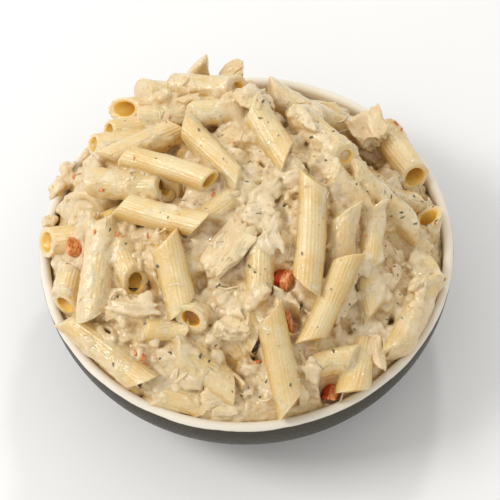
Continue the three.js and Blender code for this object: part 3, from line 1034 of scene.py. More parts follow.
STRAND_LENGTHS, STRAND_THICKS = (0.6, 1), (0.75, 1.1)
STRAND_SHIFT = 0.12
STRAND_FAT = 0.85
DENTS, DENT_WAVES = 0.45, 1.3
OVER_RIM = [
    # middle, size and heading of the lumps that lean over the rim
    (-80, 33, 52, 4.5, 60), (-77, 40, 52, 3.5, 50), (-84, 15, 51, 3.0, 80), (74, 42, 50, 3.0, -50),
    (79, 33, 49, 2.6, -60),
]
SMEARS = [
    # middle, size and heading of the thick lumps that hang on the tubes
    (4, 40, 98, 5.0, -60), (7, 35, 99, 3.5, -40), (-30, 46, 91, 4.5, 10), (-19, 45, 92, 4.0, 0),
    (-3, 41, 97, 3.6, 20), (-62, -8, 84, 3.5, -90), (-48, -10, 82, 3.5, -70), (-50, -62, 62, 4.0, -40),
    (-58, -48, 65, 3.0, -50), (-24, -60, 69, 4.5, -30), (-8, -72, 63, 4.0, -30), (69, -34, 63, 4.5, 60),
    (66, -44, 62, 3.5, 60), (24, 34, 93, 4.5, -50), (28, 28, 95, 3.5, -50), (52, 4, 79, 3.5, -34),
    (51, -8, 79, 3.5, -90), (38, -10, 84, 3.5, -90),
]


# %% Helpers for the flakes and lumps
def heap_point(chance):
    """A random point of the heap in plan, as many near the wall as near the top."""
    reach = (BED_RADIUS - 4) * math.sqrt(chance.random())
    around = chance.uniform(0, math.tau)
    return reach * math.cos(around), reach * math.sin(around)


def low_place(chance):
    """A random place of the crust that isn't high on a tube."""
    while True:
        x, y = heap_point(chance)
        place, normal = crust(x, y)
        if place.z < bed_level(x, y) + MOST_PROUD:
            return place, normal


def add_blob(piece, centre, size, turn, rough, bend, seed):
    """A soft lump: a ball drawn out, turned, bent and dented."""
    ball = new_ball(3)
    for vert in ball.verts:
        dent = 1 + rough * noise.noise(vert.co * DENT_WAVES + Vector((seed * 3.7, 0, 0)))
        spot = stretched(vert.co, size) * dent
        spot.z -= bend * spot.x * spot.x / size[0]
        vert.co = centre + turn @ spot
    add_to(piece, ball)


def add_bundle(piece, centre, normal, size, heading, seed):
    """A flake of meat: strands side by side, each a little longer or shorter than its neighbour."""
    length, width, thick = size
    chance = random.Random(seed)
    tilt = Euler((chance.uniform(-0.35, 0.35), chance.uniform(-0.25, 0.25), 0)).to_matrix()
    turn = lying_turn(normal, heading) @ tilt
    strands = max(2, round(width / STRAND_WIDTH))
    bend = chance.uniform(-0.1, 0.25)
    for strand in range(strands):
        across = (strand + 0.5) / strands - 0.5
        own_length = length * chance.uniform(*STRAND_LENGTHS) * (1 - across * across)
        own_thick = thick * chance.uniform(*STRAND_THICKS) * (1 - 1.2 * across * across)
        ahead = chance.uniform(-STRAND_SHIFT, STRAND_SHIFT) * length
        place = Vector((ahead, across * width, chance.uniform(-0.3, 0.3)))
        shape = (own_length / 2, width / strands * STRAND_FAT, own_thick / 2)
        add_blob(piece, centre + turn @ place, shape, turn, DENTS, bend, seed * 10 + strand)


# %% Flakes, lumps and shreds
flakes = bmesh.new()
for seed, (x, y, length, width, thick, heading) in enumerate(PULLED):
    place, normal = crust(x, y)
    place.z = min(place.z, bed_level(x, y) + MOST_PROUD)
    place += normal * thick * PULLED_LIFT
    add_bundle(flakes, place, normal, (length, width, thick), math.radians(heading), seed)
chance = random.Random(11)
for seed in range(MORE_FLAKES):
    place, normal = low_place(chance)
    size = [chance.uniform(*ends) for ends in FLAKE_SIZES]
    add_bundle(flakes, place, normal, size, chance.uniform(0, math.tau), seed + 100)
FLAKE_SKIN = BVHTree.FromBMesh(flakes)
add_to(salad, flakes)
for seed in range(LUMPS):
    x, y = heap_point(chance)
    centre = Vector((x, y, bed_level(x, y) + bed_relief(x, y) - 0.4))
    size = chance.uniform(*LUMP_SIZES)
    shape = (size * chance.uniform(1.0, 1.7), size, size * chance.uniform(0.6, 0.9))
    turn = Euler([chance.uniform(-0.5, 0.5), chance.uniform(-0.5, 0.5), chance.uniform(0, math.tau)])
    add_blob(salad, centre, shape, turn.to_matrix(), 0.5, 0, seed)
for seed in range(SHREDS):
    place, normal = low_place(chance)
    size = chance.uniform(*SHRED_SIZES)
    shape = (chance.uniform(*SHRED_LENGTHS), size, size * 0.8)
    turn = lying_turn(normal, chance.uniform(0, math.tau))
    add_blob(salad, place + normal * 0.3, shape, turn, 0.4, chance.uniform(0, 0.3), seed + 500)
for seed, (x, y, z, size, heading) in enumerate(OVER_RIM + SMEARS):
    turn = Euler([0, 0, math.radians(heading)]).to_matrix()
    add_blob(salad, Vector((x, y, z)), (size * 1.3, size * 0.85, size * 0.7), turn, 0.9, 0, seed + 300)
print("with flakes and lumps:", len(salad.faces), "faces")

# %% Helper for modifiers
def modified(piece, kind, **settings):
    """What a modifier makes of a bmesh, which it uses up."""
    mesh = bpy.data.meshes.new("before")
    piece.to_mesh(mesh)
    piece.free()
    holder = bpy.data.objects.new("before", mesh)
    scene.collection.objects.link(holder)
    modifier = holder.modifiers.new("change", kind)
    for name, value in settings.items():
        setattr(modifier, name, value)
    after = bpy.data.meshes.new_from_object(holder.evaluated_get(bpy.context.evaluated_depsgraph_get()))
    result = bmesh.new()
    result.from_mesh(after)
    bpy.data.objects.remove(holder)
    bpy.data.meshes.remove(mesh)
    bpy.data.meshes.remove(after)
    return result


# %% [markdown]
# ## Open bores
#
# A remesh closes whatever is narrower than its voxels, and lumps that lie over a mouth would hang
# in it as a dome. So once the skin is grown, a drill as wide as the bore is cut out of it at each
# mouth that shows, from a little in front of the mouth to the plug of dressing inside. A boolean
# does this cleanly, because the remeshed skin and the drills are both closed.

# %% Mouths that show
FILLED = 0.48
MOUTH_BULGE = 3.0
BORE_SLACK = 0.35
DRILL_STEPS = 24


def find_mouths():
    """The mouths that show: middle, the way each faces, its tube's axis, width, bore and clear depth."""
    mouths = []
    for tube in TUBES:
        if tube.opens and tube.dressed < FILLED:
            middle = tube.middle + tube.axis * tube.opens * tube.end
            outward = (tube.axis + tube.opening * tube.slope).normalized() * tube.opens
            depth = hole_depth(True, tube.dressed) - 0.5
            mouths.append((middle, outward, tube.axis * tube.opens, tube.width, tube.bore, depth))
    return mouths


def carve_bores(skin):
    """Cuts the bores that show out of the skin, and what lies just in front of them."""
    drills = bmesh.new()
    for middle, outward, along, width, bore, depth in MOUTHS:
        drill = bmesh.new()
        bmesh.ops.create_cone(
            drill,
            cap_ends=True,
            segments=DRILL_STEPS,
            radius1=bore + BORE_SLACK,
            radius2=bore + BORE_SLACK,
            depth=depth + MOUTH_BULGE,
        )
        turn = along.to_track_quat("Z", "Y").to_matrix().to_4x4()
        place = Matrix.Translation(middle + along * (MOUTH_BULGE - depth) / 2)
        bmesh.ops.transform(drill, matrix=place @ turn, verts=drill.verts)
        add_to(drills, drill)
    mesh = bpy.data.meshes.new("drills")
    drills.to_mesh(mesh)
    drills.free()
    cutter = bpy.data.objects.new("drills", mesh)
    scene.collection.objects.link(cutter)
    skin = modified(skin, "BOOLEAN", object=cutter, operation="DIFFERENCE", solver="MANIFOLD")
    bpy.data.objects.remove(cutter)
    bpy.data.meshes.remove(mesh)
    return skin


MOUTHS = find_mouths()
print(len(MOUTHS), "mouths are open")

# %% One skin
VOXEL = 0.62
SMOOTHINGS = 2

salad = carve_bores(modified(salad, "REMESH", mode="VOXEL", voxel_size=VOXEL))
everything = [*salad.verts, *salad.edges, *salad.faces]
bmesh.ops.bisect_plane(
    salad, geom=everything, dist=0.001, plane_co=(0, 0, BED_FLOOR + 4), plane_no=(0, 0, 1), clear_inner=True
)
rim = [edge for edge in salad.edges if edge.is_boundary]
bmesh.ops.holes_fill(salad, edges=rim, sides=0)
for turn in range(SMOOTHINGS):
    bmesh.ops.smooth_vert(
        salad, verts=salad.verts, factor=0.5, use_axis_x=True, use_axis_y=True, use_axis_z=True
    )
salad.normal_update()
print("skin:", len(salad.verts), "points")

# %% [markdown]
# ## Rolls and gaps
#
# The surface of the dressing is in small soft rolls with creases between them, as a spoon leaves thick cream.
# Between the pieces it leaves narrow gaps, each a pit pressed into the skin and painted dark brown as the
# shade in it. In front of the mouths that show, and round the pieces that stand in it, the skin is pressed
# down too.

# %% Sizes of the rolls and gaps
# the width of each size of roll and how high it stands
ROLLS = ((7.0, 1.7), (3.0, 0.6), (1.3, 0.2))
ROLL_LIE = Euler((0, 0, math.radians(-40))).to_matrix()
ROLL_DRAWN = 0.55
# how far the rolls wander, and over what length
ROLL_WANDERS = ((3.0, 7), (0.5, 1.8))
ROLL_SOFT = 0.06
ROLL_MEAN = 0.22
NEAR_PASTA = 2.2
ROLLS_ON_PASTA = 0.3
CLEAR = [
    # middle, radius and highest level of the dressing round the pieces that stand in it
    (14, -37, 5.5, 77), (15.5, -53, 5.0, 71), (31, -75, 5.5, 49), (-72, -11, 5.0, 66),
    (-12.5, -77, 9.0, 54), (-7, -58, 6.5, 73), (50, -63, 6.0, 57), (56, 40, 9.0, 62),
]
GAPS = [
    # middle, radius, depth and heading
    (-24, -19, 0.9, 3, -25), (1, -27, 1.3, 5, 50), (5, -22, 0.9, 4, 40), (-9, -40, 1.1, 4, 10),
    (-2, -51, 1.3, 5, -60), (20, -47, 0.9, 3, 60), (9, -42, 1.0, 4, 80), (-21, -46, 1.0, 4, 100),
    (17, -8, 0.9, 4, 20), (31, -18, 0.9, 4, -100), (8, 12, 0.9, 4, -60), (26, 10, 1.2, 5, -60),
    (54, 32, 3.6, 6, -35), (1, -60, 3.0, 9, -70), (57, -46, 1.3, 5, 60), (46, -48, 0.9, 4, 60),
    (50, -60, 1.2, 4, 100), (-52, -39, 1.5, 5, 20), (-57, -48, 0.9, 4, -40), (-44, -71, 1.2, 4, -40),
    (-27, -79, 1.4, 4, -15), (-52, 18, 0.9, 4, 0), (-25, 19, 0.9, 4, 40), (-25, 1, 1.0, 4, -20),
    (-2, 19, 0.9, 4, 50), (-43, 8, 0.9, 4, 0),
]
GAP_LENGTH = 2.2
GAP_RAGGED = 0.9
MOUTH_REACH = 0.62
MOUTH_AHEAD = 0.8
MOUTH_DROP = 0.5
MOUTH_LIP = 0.3


# %% Helpers for the rolls and gaps
def rolls_at(point):
    """Soft rolls with narrow creases between them, at three sizes, drawn out and wandering."""
    drawn = point
    for most, wave in ROLL_WANDERS:
        drawn = drawn + most * noise.noise_vector(point / wave)
    drawn = ROLL_LIE @ drawn
    drawn.x *= ROLL_DRAWN
    total = 0
    for wave, height in ROLLS:
        swell = noise.noise(drawn / wave + Vector((wave, 0, 0)))
        total += height * (math.hypot(swell, ROLL_SOFT) - ROLL_MEAN)
    return total


def keep_clear(point):
    """Lowers the dressing where a piece stands in it."""
    for x, y, radius, level in CLEAR:
        inside = 1 - ((point.x - x) ** 2 + (point.y - y) ** 2) / radius**2
        if inside > 0 and point.z > level:
            point.z += (level - point.z) * ease(inside, 0, 0.5)


def clear_mouths(point):
    """Lowers the dressing in front of the mouths that show. Gives 1 in a bore, and 0 elsewhere."""
    in_bore = 0
    for middle, outward, along, width, bore, depth in MOUTHS:
        away = point - middle
        ahead = away.dot(outward)
        if away.length > 1.5 * width or ahead > MOUTH_AHEAD * width:
            continue
        inside = away.dot(along)
        from_axis = (away - along * inside).length
        if -depth - 0.6 < inside and ahead < MOUTH_LIP and from_axis < bore + 0.7:
            in_bore = 1
        if ahead <= MOUTH_LIP:
            continue
        off = (away - outward * ahead).length
        level = middle.z - width * MOUTH_DROP
        if off < MOUTH_REACH * width and point.z > level:
            share = ease(MOUTH_REACH * width - off, 0, 1.5) * ease(ahead, MOUTH_LIP, 1.3)
            share *= ease(MOUTH_AHEAD * width - ahead, 0, 2)
            point.z += (level - point.z) * share
    return in_bore


def gap_at(x, y):
    """How far a gap presses the skin down, and how much of a gap the point is in."""
    drop, share = 0, 0
    for gap_x, gap_y, radius, depth, heading in GAPS:
        if abs(x - gap_x) + abs(y - gap_y) > 5 * radius:
            continue
        turned = Matrix.Rotation(-math.radians(heading), 2) @ Vector((x - gap_x, y - gap_y))
        inside = 1 - (turned.x / radius / GAP_LENGTH) ** 2 - (turned.y / radius) ** 2
        inside += GAP_RAGGED * noise.noise(Vector((x, y, 0)) / 2.2)
        drop = max(drop, depth * ease(inside, 0, 0.9))
        share = max(share, ease(inside, 0.2, 0.9))
    return drop, share


# %% Rolled surface
meat_layer = salad.verts.layers.float.new("meat")
for vert in salad.verts:
    from_flake = FLAKE_SKIN.find_nearest(vert.co, 2.0)[3]
    vert[meat_layer] = 0 if from_flake is None else 1 - ease(from_flake, 0.3, 1.3)
gap_shade_layer = salad.verts.layers.float.new("hollow")
bore_shade_layer = salad.verts.layers.float.new("bore")
moves = []
for vert in salad.verts:
    from_pasta = PASTA_SKIN.find_nearest(vert.co, NEAR_PASTA)[3]
    share = 1
    if from_pasta is not None:
        share = ROLLS_ON_PASTA + (1 - ROLLS_ON_PASTA) * ease(from_pasta, 0.8, NEAR_PASTA)
    moves.append(vert.normal * rolls_at(vert.co) * share)
for vert, move in zip(salad.verts, moves):
    drop, share = gap_at(vert.co.x, vert.co.y)
    level = heap_height(vert.co.x, vert.co.y)
    vert.co += move
    # painted shade: the gaps, and points that lie well below the plain heap, are marked to be painted dark
    # brown
    vert[gap_shade_layer] = max(share, 0.4 * ease(level - vert.co.z, 4, 11))
    vert.co.z -= drop
    keep_clear(vert.co)
    # painted shade: dressing inside a bore is marked to be painted gold
    vert[bore_shade_layer] = clear_mouths(vert.co)
salad.normal_update()
print("rolled, with", len(GAPS), "gaps")

# %% Lighter mesh
DRESSING_TRIANGLES = 195000
CREASE_GAIN, MOST_RISE = 1.6, 0.3
LOW_SHADE_SHARE = 0.6
UPRIGHT, LYING = 0.1, 0.9
SHALLOW, DEEP = 1, 9

triangles = sum(len(face.verts) - 2 for face in salad.faces)
salad = modified(salad, "DECIMATE", ratio=min(1, DRESSING_TRIANGLES / triangles))
salad.normal_update()
crease_shade_layer = salad.verts.layers.float.new("crease_shade")
low_shade_layer = salad.verts.layers.float.new("low")
for vert in salad.verts:
    round_about = [edge.other_vert(vert).co - vert.co for edge in vert.link_edges]
    rise = sum(away.dot(vert.normal) for away in round_about) / sum(away.length for away in round_about)
    # painted shade: a point where the skin is hollow round it is marked to be painted darker, as the shade in
    # a crease
    vert[crease_shade_layer] = 0.5 + CREASE_GAIN * max(-MOST_RISE, min(MOST_RISE, rise))
    # painted shade: a point that faces sideways or down, or lies below the plain heap, is marked for a
    # warmer, darker tone
    buried = ease(heap_height(vert.co.x, vert.co.y) - vert.co.z, SHALLOW, DEEP)
    vert[low_shade_layer] = LOW_SHADE_SHARE * (1 - ease(vert.normal.z, UPRIGHT, LYING)) + LOW_SHADE_SHARE * buried
print("thinned to", len(salad.faces), "faces")

# %% [markdown]
# ## Dressing finish
#
# A cream of egg, oil and stock, never one colour: paler where it is whipped, browner where the meat's juice
# has run into it, wet on top. Light sinks in a little. Painted shade is added: deeper brown in the creases,
# dark brown in the gaps, a warmer, darker tone on steep and buried parts, and gold in the bores.

# %% Dressing finish
DRESSING_WHIPPED = (0.87, 0.75, 0.53)
DRESSING_FILM = (0.89, 0.79, 0.59)
MEAT_IN_DRESSING = (0.78, 0.64, 0.43)
GAP_SHADE_BROWN = (0.26, 0.13, 0.025)

finish = start_finish(
    "creamy_dressing",
    Subsurface_Weight=0.35,
    Subsurface_Scale=0.002,
    Subsurface_Radius=(1.0, 0.75, 0.4),
    Coat_Weight=1.0,
    Coat_Roughness=0.07,
)
fine = add_noise(finish, 420, 4, 0.6)
film = add_noise(finish, 1000, 2)
tone = lay_over(finish, DRESSING_MID, DRESSING_PALE, add_noise(finish, 70, 4, 0.6), 0.35, 0.68)
# painted shade: creases are painted deeper brown, steep and buried parts a warmer, darker tone, gaps dark
# brown, and the dressing in the bores gold; the rest is random tone, whipped cream and meat juice
for colour, value, low, high, most in (
    (DRESSING_DEEP_MOTTLE_AND_CREASE_SHADE, fine, 0.56, 0.76, 0.7),
    (DRESSING_DEEP_MOTTLE_AND_CREASE_SHADE, read_attribute(finish, "crease_shade"), 0.52, 0.92, 0.8),
    (DRESSING_WHIPPED, fine, 0.42, 0.28, 1),
    (DRESSING_FILM, film, 0.55, 0.72, 0.5),
    (GOLD_FOR_BORE_SHADE_AND_MOTTLE, film, 0.44, 0.3, 0.2),
    (DRESSING_LOW_SHADE, read_attribute(finish, "low"), 0, 1, 0.75),
    (MEAT_IN_DRESSING, read_attribute(finish, "meat"), 0.1, 0.9, 0.45),
    (GAP_SHADE_BROWN, read_attribute(finish, "hollow"), 0.1, 0.9, 1),
    (GOLD_FOR_BORE_SHADE_AND_MOTTLE, read_attribute(finish, "bore"), 0, 1, 0.7),
):
    tone = lay_over(finish, tone, colour, value, low, high, most)
relief = [(fine, 0.0006), (film, 0.00015), (add_noise(finish, 1500, 3, 0.6), 0.00022)]
wet = [(add_noise(finish, 480, 1), 0.0004), (add_noise(finish, 1400, 1), 0.00024)]
end_finish(finish, tone, (fine, 0.25, 0.45), relief, wet)
DRESSING = finish
dressing = finish_piece("dressing", salad, DRESSING, ["salad"])

# %% [markdown]
# ## Chicken
#
# Poached breast is cut and pulled into pieces. Its grain runs one way: along it the surface has
# long grooves, and at the ends the fibres are torn. Each point of a ball is moved out to the flat
# torn faces of a block, which is then dented, grooved along the grain and torn at its ends, and set
# in the place of its solid. Smaller blocks that came away lie against it. The piece at the back is
# one clean block with a bite out of its lower edge, where the fibres pulled away.

# %% Chicken shapes
CHICKEN = {
    # middle, size along, across and up, heading, pitch and roll
    "chicken_back": (56, 44, 67.3, 13, 14.5, 12, -59, -20, 26),
    "chicken_front": (-12, -75.5, 54.5, 16, 11, 10, 12, 0, 15),
    "chicken_centre": (-8, -26.5, 87, 23, 14, 7, 52, 12, -10),
    "chicken_lower": (-7, -55, 76.5, 13, 12, 9, 80, -20, 0),
    "chicken_strip": (50, -61, 60, 13, 6, 5, -80, -10, 0),
}
# the middle of a bite and its radius
BITES = {"chicken_back": (56.3, 33.7, 68, 4.4)}
# the fineness of the mesh, faces beyond six, dents, grooves, torn ends, and how sharp its edges are
CLEAN_BLOCK = (6, 0, 1.5, 0.3, 2.0, 22)
PULLED_BLOCK = (6, 5, 1.6, 0.4, 1.8, 9)
SMALL_BLOCK = (5, 3, 1.0, 0.3, 1.4, 9)
DICE = (5, 1, 0.8, 0.06, 0.3, 14)
BITS_A_PIECE = 2
BIT_SHARES = ((0.5, 0.8), (0.25, 0.4), (0.4, 0.6))
BIT_LEANS = (20, 10, 30)
BIT_ASIDE, BIT_AHEAD, BIT_LIFTS = 0.42, 0.3, (-0.1, 0.3)
FLAKE_DETAIL = 4
FACE_LEAN = 0.2
CORNER_REACH = (0.85, 1.15)
BUNDLE_WAVES, FIBRE_WAVES = (0.10, 0.42, 0.42), (0.22, 1.3, 1.3)
GROOVE_WAVES, FINE_GROOVE_WAVES = (0.07, 0.42, 0.42), (0.14, 1.3, 1.3)
FINE_SHARE_OF_GRAIN = 0.35
DENT_SIZE = 6
TEAR_SIZE = 1.8


# %% Helpers for the grain and the torn faces
def grain_noise(spot, offset):
    """Fibres that run along X: coarse bundles with finer ones on them."""
    coarse = noise.noise(stretched(spot, BUNDLE_WAVES) + offset)
    fine = noise.noise(stretched(spot, FIBRE_WAVES) + offset)
    return coarse + FINE_SHARE_OF_GRAIN * fine


def chunk_turn(heading, pitch, roll):
    return Euler((math.radians(roll), -math.radians(pitch), math.radians(heading)), "XYZ").to_matrix()


def block_facets(seed, extra):
    """The flat torn faces of a block: six about square to each other, and a few that cut its corners."""
    chance = random.Random(seed)
    sides = [(1, 0, 0), (-1, 0, 0), (0, 1, 0), (0, -1, 0), (0, 0, 1), (0, 0, -1)]
    facets = []
    for side in sides:
        lean = Vector([chance.uniform(-FACE_LEAN, FACE_LEAN) for axis in range(3)])
        facets.append(((Vector(side) + lean).normalized(), 1.0))
    for facet in range(extra):
        corner = Vector([chance.uniform(-1, 1) for axis in range(3)]).normalized()
        facets.append((corner, chance.uniform(*CORNER_REACH)))
    return facets


def facet_reach(direction, facets, sharp):
    """How far a block with those faces reaches, with its edges a little rounded."""
    total = sum(max(0, direction.dot(normal) / distance) ** sharp for normal, distance in facets)
    return total ** (-1 / sharp)


def fibre_grooves(spot, offset):
    """Narrow grooves along X between bundles of fibres, with finer ones between the fibres."""
    coarse = abs(noise.noise(stretched(spot, GROOVE_WAVES) + offset))
    fine = abs(noise.noise(stretched(spot, FINE_GROOVE_WAVES) + offset))
    return 1 - ease(coarse, 0, 0.22) + FINE_SHARE_OF_GRAIN * (1 - ease(fine, 0, 0.25))


# %% Helpers for blocks and flakes
def add_chunk(piece, place, seed, manner, bite=None):
    """A torn block: middle, size along, across and up, heading, pitch and roll."""
    x, y, z, along, across, up, heading, pitch, roll = place
    detail, facets, dents, grooves, tears, sharp = manner
    block = new_ball(detail)
    turn = chunk_turn(heading, pitch, roll)
    faces = block_facets(seed, facets)
    offset = Vector((seed * 5.3, seed * 1.7, 0))
    side_layer = block.verts.layers.float.new("side")
    for vert in block.verts:
        shape = vert.co * facet_reach(vert.co, faces, sharp)
        end = ease(abs(shape.x), 0.7, 1.0) * math.copysign(1, shape.x)
        vert[side_layer] = shape.y
        spot = stretched(shape, (along, across, up)) / 2
        inward = spot.normalized() * grooves * fibre_grooves(spot, offset)
        spot += dents * noise.noise_vector(spot / DENT_SIZE + offset)
        spot -= inward
        torn = Vector((0, spot.y / TEAR_SIZE, spot.z / TEAR_SIZE)) + offset
        spot.x += tears * end * noise.noise(torn)
        vert.co = Vector((x, y, z)) + turn @ spot
        if bite is not None:
            from_bite = vert.co - Vector(bite[:3])
            if from_bite.length < bite[3]:
                vert.co = Vector(bite[:3]) + from_bite.normalized() * bite[3]
    add_to(piece, block)


def add_flake(piece, place, turn, size, seed):
    """A flat bundle of fibres, bent over what it lies on, with torn ends."""
    length, width, thick = size
    chance = random.Random(seed)
    ball = new_ball(FLAKE_DETAIL)
    tilt = Euler((chance.uniform(-0.3, 0.3), chance.uniform(-0.2, 0.2), 0)).to_matrix()
    offset = Vector((seed * 2.3, seed * 7.1, 0))
    bend = chance.uniform(-0.02, 0.06)
    for vert in ball.verts:
        block = Vector((squared(vert.co.x, 0.7), squared(vert.co.y, 0.7), squared(vert.co.z, 0.7)))
        end = ease(abs(block.x), 0.45, 1.0) * math.copysign(1, block.x)
        spot = stretched(block, (length, width, thick)) / 2
        spot.y *= 1 + 0.6 * noise.noise(Vector((spot.x / 3, 0, 0)) + offset)
        swell = 0.3 * grain_noise(spot, offset) + 1.1 * noise.noise(spot / 6 + offset)
        spot += spot.normalized() * swell
        spot.x += 1.2 * end * noise.noise(Vector((0, spot.y / 1.3, 3)) + offset)
        spot.z -= bend * spot.x * spot.x
        vert.co = place + turn @ tilt @ spot
    add_to(piece, ball)


def add_pulled_chunk(piece, place, seed):
    """A pulled piece: a torn block with smaller ones that came away and lie against it."""
    x, y, z, along, across, up, heading, pitch, roll = place
    add_chunk(piece, place, seed, PULLED_BLOCK)
    turn = chunk_turn(heading, pitch, roll)
    chance = random.Random(seed + 70)
    for bit in range(BITS_A_PIECE):
        side = chance.choice((-1, 1))
        ahead, lift = chance.uniform(-BIT_AHEAD, BIT_AHEAD), chance.uniform(*BIT_LIFTS)
        spot = Vector((x, y, z)) + turn @ Vector((ahead * along, side * across * BIT_ASIDE, up * lift))
        size = [part * chance.uniform(*share) for part, share in zip((along, across, up), BIT_SHARES)]
        lean = [angle + chance.uniform(-most, most) for angle, most in zip((heading, pitch, roll), BIT_LEANS)]
        add_chunk(piece, (*spot, *size, *lean), seed * 9 + bit, SMALL_BLOCK)


# %% Chicken finish
CHICKEN_MID = (0.76, 0.58, 0.33)
CHICKEN_PALE = (0.84, 0.69, 0.43)
CHICKEN_DEEP = (0.58, 0.39, 0.16)
finish = start_finish(
    "poached_chicken",
    Subsurface_Weight=0.2,
    Subsurface_Scale=0.0015,
    Subsurface_Radius=(1.0, 0.6, 0.35),
    Coat_Weight=0.4,
    Coat_Roughness=0.15,
)
broad = add_noise(finish, 150, 4)
fine = add_noise(finish, 600, 4)
tone = mix_colours(finish, stretch_value(finish, broad, 0.35, 0.65), CHICKEN_MID, CHICKEN_PALE)
tone = mix_colours(finish, stretch_value(finish, fine, 0.55, 0.75), tone, CHICKEN_DEEP)
wet = [(add_noise(finish, 900, 1), 0.0002)]
end_finish(finish, tone, (fine, 0.35, 0.6), [(fine, 0.00012)], wet)
MEAT = finish

# %% Chicken pieces
TEARS = {"chicken_back": 0, "chicken_front": 1, "chicken_centre": 2, "chicken_lower": 15, "chicken_strip": 4}

for node, place in CHICKEN.items():
    piece = bmesh.new()
    if node in BITES:
        add_chunk(piece, place, TEARS[node], CLEAN_BLOCK, bite=BITES[node])
    else:
        add_pulled_chunk(piece, place, TEARS[node])
    finish_piece("meat_" + node, piece, MEAT, [node])

# %% [markdown]
# ## Red pepper
#
# Diced sweet pepper keeps its skin, which is smooth and deep red. The cut flesh at its side is
# paler and more orange. The larger dice have solids of their own.

# %% Pepper
PEPPER = {
    # middle, size along, across and up, heading, pitch and roll
    "pepper_centre": (14, -36, 79, 8, 6.5, 5, 70, -15, 0),
    "pepper_lower": (15, -52, 73, 10, 3.5, 4, -80, -25, 0),
    "pepper_front": (31, -73, 51, 7, 6, 4.5, 60, 0, 0),
    "pepper_left": (-71, -9, 68, 7.5, 6, 4.5, 100, 0, 30),
}
# the cut flesh is at the right of the heading for 1, at its left for -1, and all round for 0
FLESH_AT_RIGHT = {"pepper_centre": 1, "pepper_lower": -1, "pepper_front": 1, "pepper_left": 0}

# %% Pepper finish
SKIN_REDS = ((0.42, 0.028, 0.001), (0.56, 0.055, 0.003))
FLESH_REDS = ((0.66, 0.17, 0.04), (0.86, 0.42, 0.17))
finish = start_finish(
    "pepper_skin",
    Subsurface_Weight=0.15,
    Subsurface_Scale=0.001,
    Subsurface_Radius=(1.0, 0.3, 0.1),
    Coat_Weight=0.1,
    Coat_Roughness=0.2,
    Specular_IOR_Level=0.3,
)
broad = add_noise(finish, 160, 3)
streak = add_noise(finish, 1300, 2, 0.5, stretch=(1, 0.4, 0.5))
flesh = stretch_value(finish, read_attribute(finish, "flesh"), 0.35, 0.65)
skin_tone = mix_colours(finish, stretch_value(finish, broad, 0.42, 0.6), *SKIN_REDS)
flesh_tone = mix_colours(finish, stretch_value(finish, streak, 0.35, 0.65), *FLESH_REDS)
tone = mix_colours(finish, flesh, skin_tone, flesh_tone)
end_finish(finish, tone, (streak, 0.2, 0.4), [(streak, 0.0001)])
PEPPER_SKIN = finish


# %% Diced pepper
def mark_flesh(piece, sign):
    """The side of a die that is cut flesh."""
    side_layer = piece.verts.layers.float["side"]
    flesh_layer = piece.verts.layers.float.new("flesh")
    for vert in piece.verts:
        vert[flesh_layer] = ease(-sign * vert[side_layer], -0.35, 0.15)


for seed, (node, place) in enumerate(PEPPER.items()):
    piece = bmesh.new()
    add_chunk(piece, place, seed + 20, DICE)
    mark_flesh(piece, FLESH_AT_RIGHT[node])
    finish_piece("dice_" + node, piece, PEPPER_SKIN, [node])

# %% [markdown]
# ## Laying small things on the heap
#
# Bare bits of meat, herbs, flecks and drops lie on whatever shows. So the surface is sampled: a
# line dropped from above a point finds the first skin below it and the way that it faces.

# %% Surface of the heap
DRESSING_SKIN = piece_tree([dressing])


def land(x, y):
    """Where a line from above meets the salad: the place, the way the skin faces, and if it is pasta."""
    top = Vector((x, y, DROP_FROM))
    hits = []
    for is_pasta, tree in ((False, DRESSING_SKIN), (True, PASTA_SKIN)):
        place, normal, face, distance = tree.ray_cast(top, DOWN)
        if place is not None:
            hits.append((distance, place, normal, is_pasta))
    if not hits:
        return None, None, False
    distance, place, normal, is_pasta = min(hits, key=lambda hit: hit[0])
    return place, normal, is_pasta


print("the heap's top at the middle:", [round(v, 1) for v in land(0, 0)[0]])

# %% [markdown]
# ## Bare bits of meat
#
# A few flakes lie on top and stayed nearly clean, so their fibres show. So do single shreds.

# %% Bits of meat
BITS = 14

meat = bmesh.new()
chance = random.Random(5)
laid = 0
while laid < BITS:
    place, normal, is_pasta = land(*heap_point(chance))
    size = (chance.uniform(3.5, 6.5), chance.uniform(1.8, 3.2), chance.uniform(1.2, 1.8))
    heading = chance.uniform(0, math.tau)
    if not is_pasta and normal.z > 0.5:
        add_flake(meat, place, lying_turn(normal, heading), size, laid + 100)
        laid += 1
finish_piece("pulled_meat", meat, MEAT)

# %% Shreds of meat
SHRED_COUNT = 60
# place, length and heading
PLACED_SHREDS = [(-7, -41, 10, 10), (-1, -26, 6, 80), (44, 47, 10, 25), (44, 44, 9, 10), (-54, -37, 7, 30)]


def add_shred(piece, place, normal, length, heading, seed):
    """A single fibre, tapered at both ends and curled."""
    chance = random.Random(seed)
    ball = new_ball(3)
    turn = lying_turn(normal, heading)
    thick = chance.uniform(0.28, 0.5)
    curl = chance.uniform(-0.12, 0.12)
    lift = chance.uniform(-0.01, 0.05)
    for vert in ball.verts:
        x = vert.co.x * length / 2
        y = vert.co.y * thick + curl * x * x + 0.5 * noise.noise(Vector((x / 2.5, seed, 0)))
        z = vert.co.z * thick * 0.8 - lift * x * x + 0.3
        vert.co = place + turn @ Vector((x, y, z))
    add_to(piece, ball)


shreds = bmesh.new()
for seed, (x, y, length, heading) in enumerate(PLACED_SHREDS):
    place, normal, is_pasta = land(x, y)
    add_shred(shreds, place, normal, length, math.radians(heading), seed)
chance = random.Random(8)
for seed in range(SHRED_COUNT):
    place, normal, is_pasta = land(*heap_point(chance))
    add_shred(shreds, place, normal, chance.uniform(3, 6.5), chance.uniform(0, math.tau), seed + 50)
finish_piece("shreds", shreds, MEAT)

